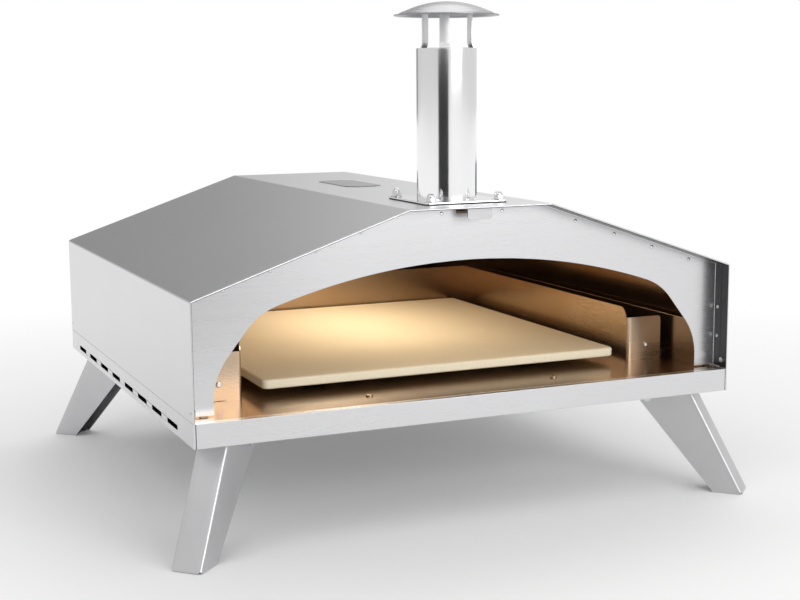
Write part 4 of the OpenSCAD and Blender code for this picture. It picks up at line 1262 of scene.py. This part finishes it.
class OVEN_OT_screws(bpy.types.Operator):
    """Sets pan-head screws in the floor and baffles, each with a small hexagon socket."""

    bl_idname = "oven.screws"
    bl_label = "Screws"

    def head(self, radius, height):
        """Rows of (radius, height) for a pan head: a rounded side, a low crown and a sunk socket."""
        t = np.linspace(0, np.pi / 2, 5)
        side = np.stack([radius * (0.72 + 0.28 * np.cos(t)), height * (0.35 + 0.6 * np.sin(t))], -1)
        socket = [[radius * 0.40, height], [radius * 0.38, height * 0.45], [0.0, height * 0.40]]
        return np.concatenate([[[0.0, 0.0], [radius, 0.0]], side, socket])

    def execute(self, context):
        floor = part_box("floor_plate")[1].z
        low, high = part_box("floor_screws")
        piece = Piece()
        head_r = 0.0038
        for x in (low.x + head_r, high.x - head_r):
            for y in (low.y + head_r, high.y - head_r):
                profile = self.head(head_r, high.z - floor) + [0, floor]
                piece.grid(turned(profile, (x, y), 24), wrap=True)
        piece.make("floor_screws_heads", "oven", "bolt_steel", ["floor_screws"], ("tinted_steel",), crease=40)
        cap_low, cap_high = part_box("right_baffle")
        back = cap_high.y
        x = cap_low.x + 0.001 + 0.005
        piece = Piece()
        a = all_round(24)
        for side in (-1, 1):
            for share in (0.1, 0.5, 0.9):
                y = cap_low.y + 0.02 + share * (back - cap_low.y - 0.04)
                profile = self.head(head_r, 0.002) + [0, floor + 0.001]
                piece.grid(turned(profile, (side * x, y), 24), wrap=True)
            r, h = (self.head(0.003, 0.0018)).T
            place_x, place_z = side * (cap_high.x - 0.019), floor + 0.017
            piece.grid(shaped(place_x + r[:, None] * np.cos(a), cap_low.y - h[:, None],
                              place_z + r[:, None] * np.sin(a)), wrap=True)
        piece.make("baffle_screws_heads", "oven", "bolt_steel", ["baffle_screws"], crease=40)
        return {"FINISHED"}


class OVEN_OT_frame_finishes(bpy.types.Operator):
    """Gives every carried-over CAD piece its finish, and eases the edges of the folded sheets."""

    bl_idname = "oven.frame_finishes"
    bl_label = "Frame finishes"

    def execute(self, context):
        slots = {part["node"]: part["material_slot"] for part in frame["record"]["subparts"]}
        other = {"base_pan": "brushed_band", "inner_liner": "tinted_steel"}
        eased = dict.fromkeys(
            ["rear_baffle", "rear_shield", "damper_plate", "left_side_shield", "right_side_shield"]
            + [place + "_fuel_grate" for place in ("left", "right", "rear")]
            + ["bracket_" + corner for corner in CORNERS], 0.0003)
        eased.update(base_pan=0.0004, name_plate=0.0002, floor_plate=0.0002)
        for name, node in frame["nodes"].items():
            finish = material(other.get(name, slots[name]))
            node.data.materials.clear()
            node.data.materials.append(finish)
            node.data.polygons.foreach_set("material_index", np.zeros(len(node.data.polygons), np.int32))
            if name in eased:
                weld = node.modifiers.new("weld", "WELD")
                weld.merge_threshold = 1e-5
                bevel = node.modifiers.new("eased_edges", "BEVEL")
                bevel.width, bevel.segments = eased[name], 2
                bevel.limit_method, bevel.angle_limit = "ANGLE", np.radians(50)
                bevel.use_clamp_overlap = True
        return {"FINISHED"}


class OVEN_PT_panel(bpy.types.Panel):
    """Lists the pieces in the order in which they are built."""

    bl_idname = "OVEN_PT_panel"
    bl_label = "Pizza oven"
    bl_space_type = "VIEW_3D"
    bl_region_type = "UI"
    bl_category = "Oven"

    def draw(self, context):
        column = self.layout.column(align=True)
        for step in STEPS:
            column.operator(step.bl_idname)
        for group in (context.scene.oven_sizes, context.scene.oven_finishes):
            box = self.layout.box()
            for key in group.__annotations__:
                box.prop(group, key)


STEPS = (
    OVEN_OT_stage, OVEN_OT_shell, OVEN_OT_front_panel, OVEN_OT_rear_panel, OVEN_OT_stone, OVEN_OT_baffles,
    OVEN_OT_flue_pipe, OVEN_OT_flue_cap, OVEN_OT_cap_struts, OVEN_OT_flue_flange, OVEN_OT_flange_bolts,
    OVEN_OT_legs, OVEN_OT_rivets, OVEN_OT_screws, OVEN_OT_frame_finishes,
)
CLASSES = (OvenSizes, OvenFinishes, *STEPS, OVEN_PT_panel)


def register():
    for item in CLASSES:
        bpy.utils.register_class(item)
    bpy.types.Scene.oven_sizes = PointerProperty(type=OvenSizes)
    bpy.types.Scene.oven_finishes = PointerProperty(type=OvenFinishes)


def unregister():
    del bpy.types.Scene.oven_finishes
    del bpy.types.Scene.oven_sizes
    for item in reversed(CLASSES):
        bpy.utils.unregister_class(item)


def main():
    register()
    for step in STEPS:
        group, name = step.bl_idname.split(".")
        getattr(getattr(bpy.ops, group), name)()


if __name__ == "__main__":
    main()
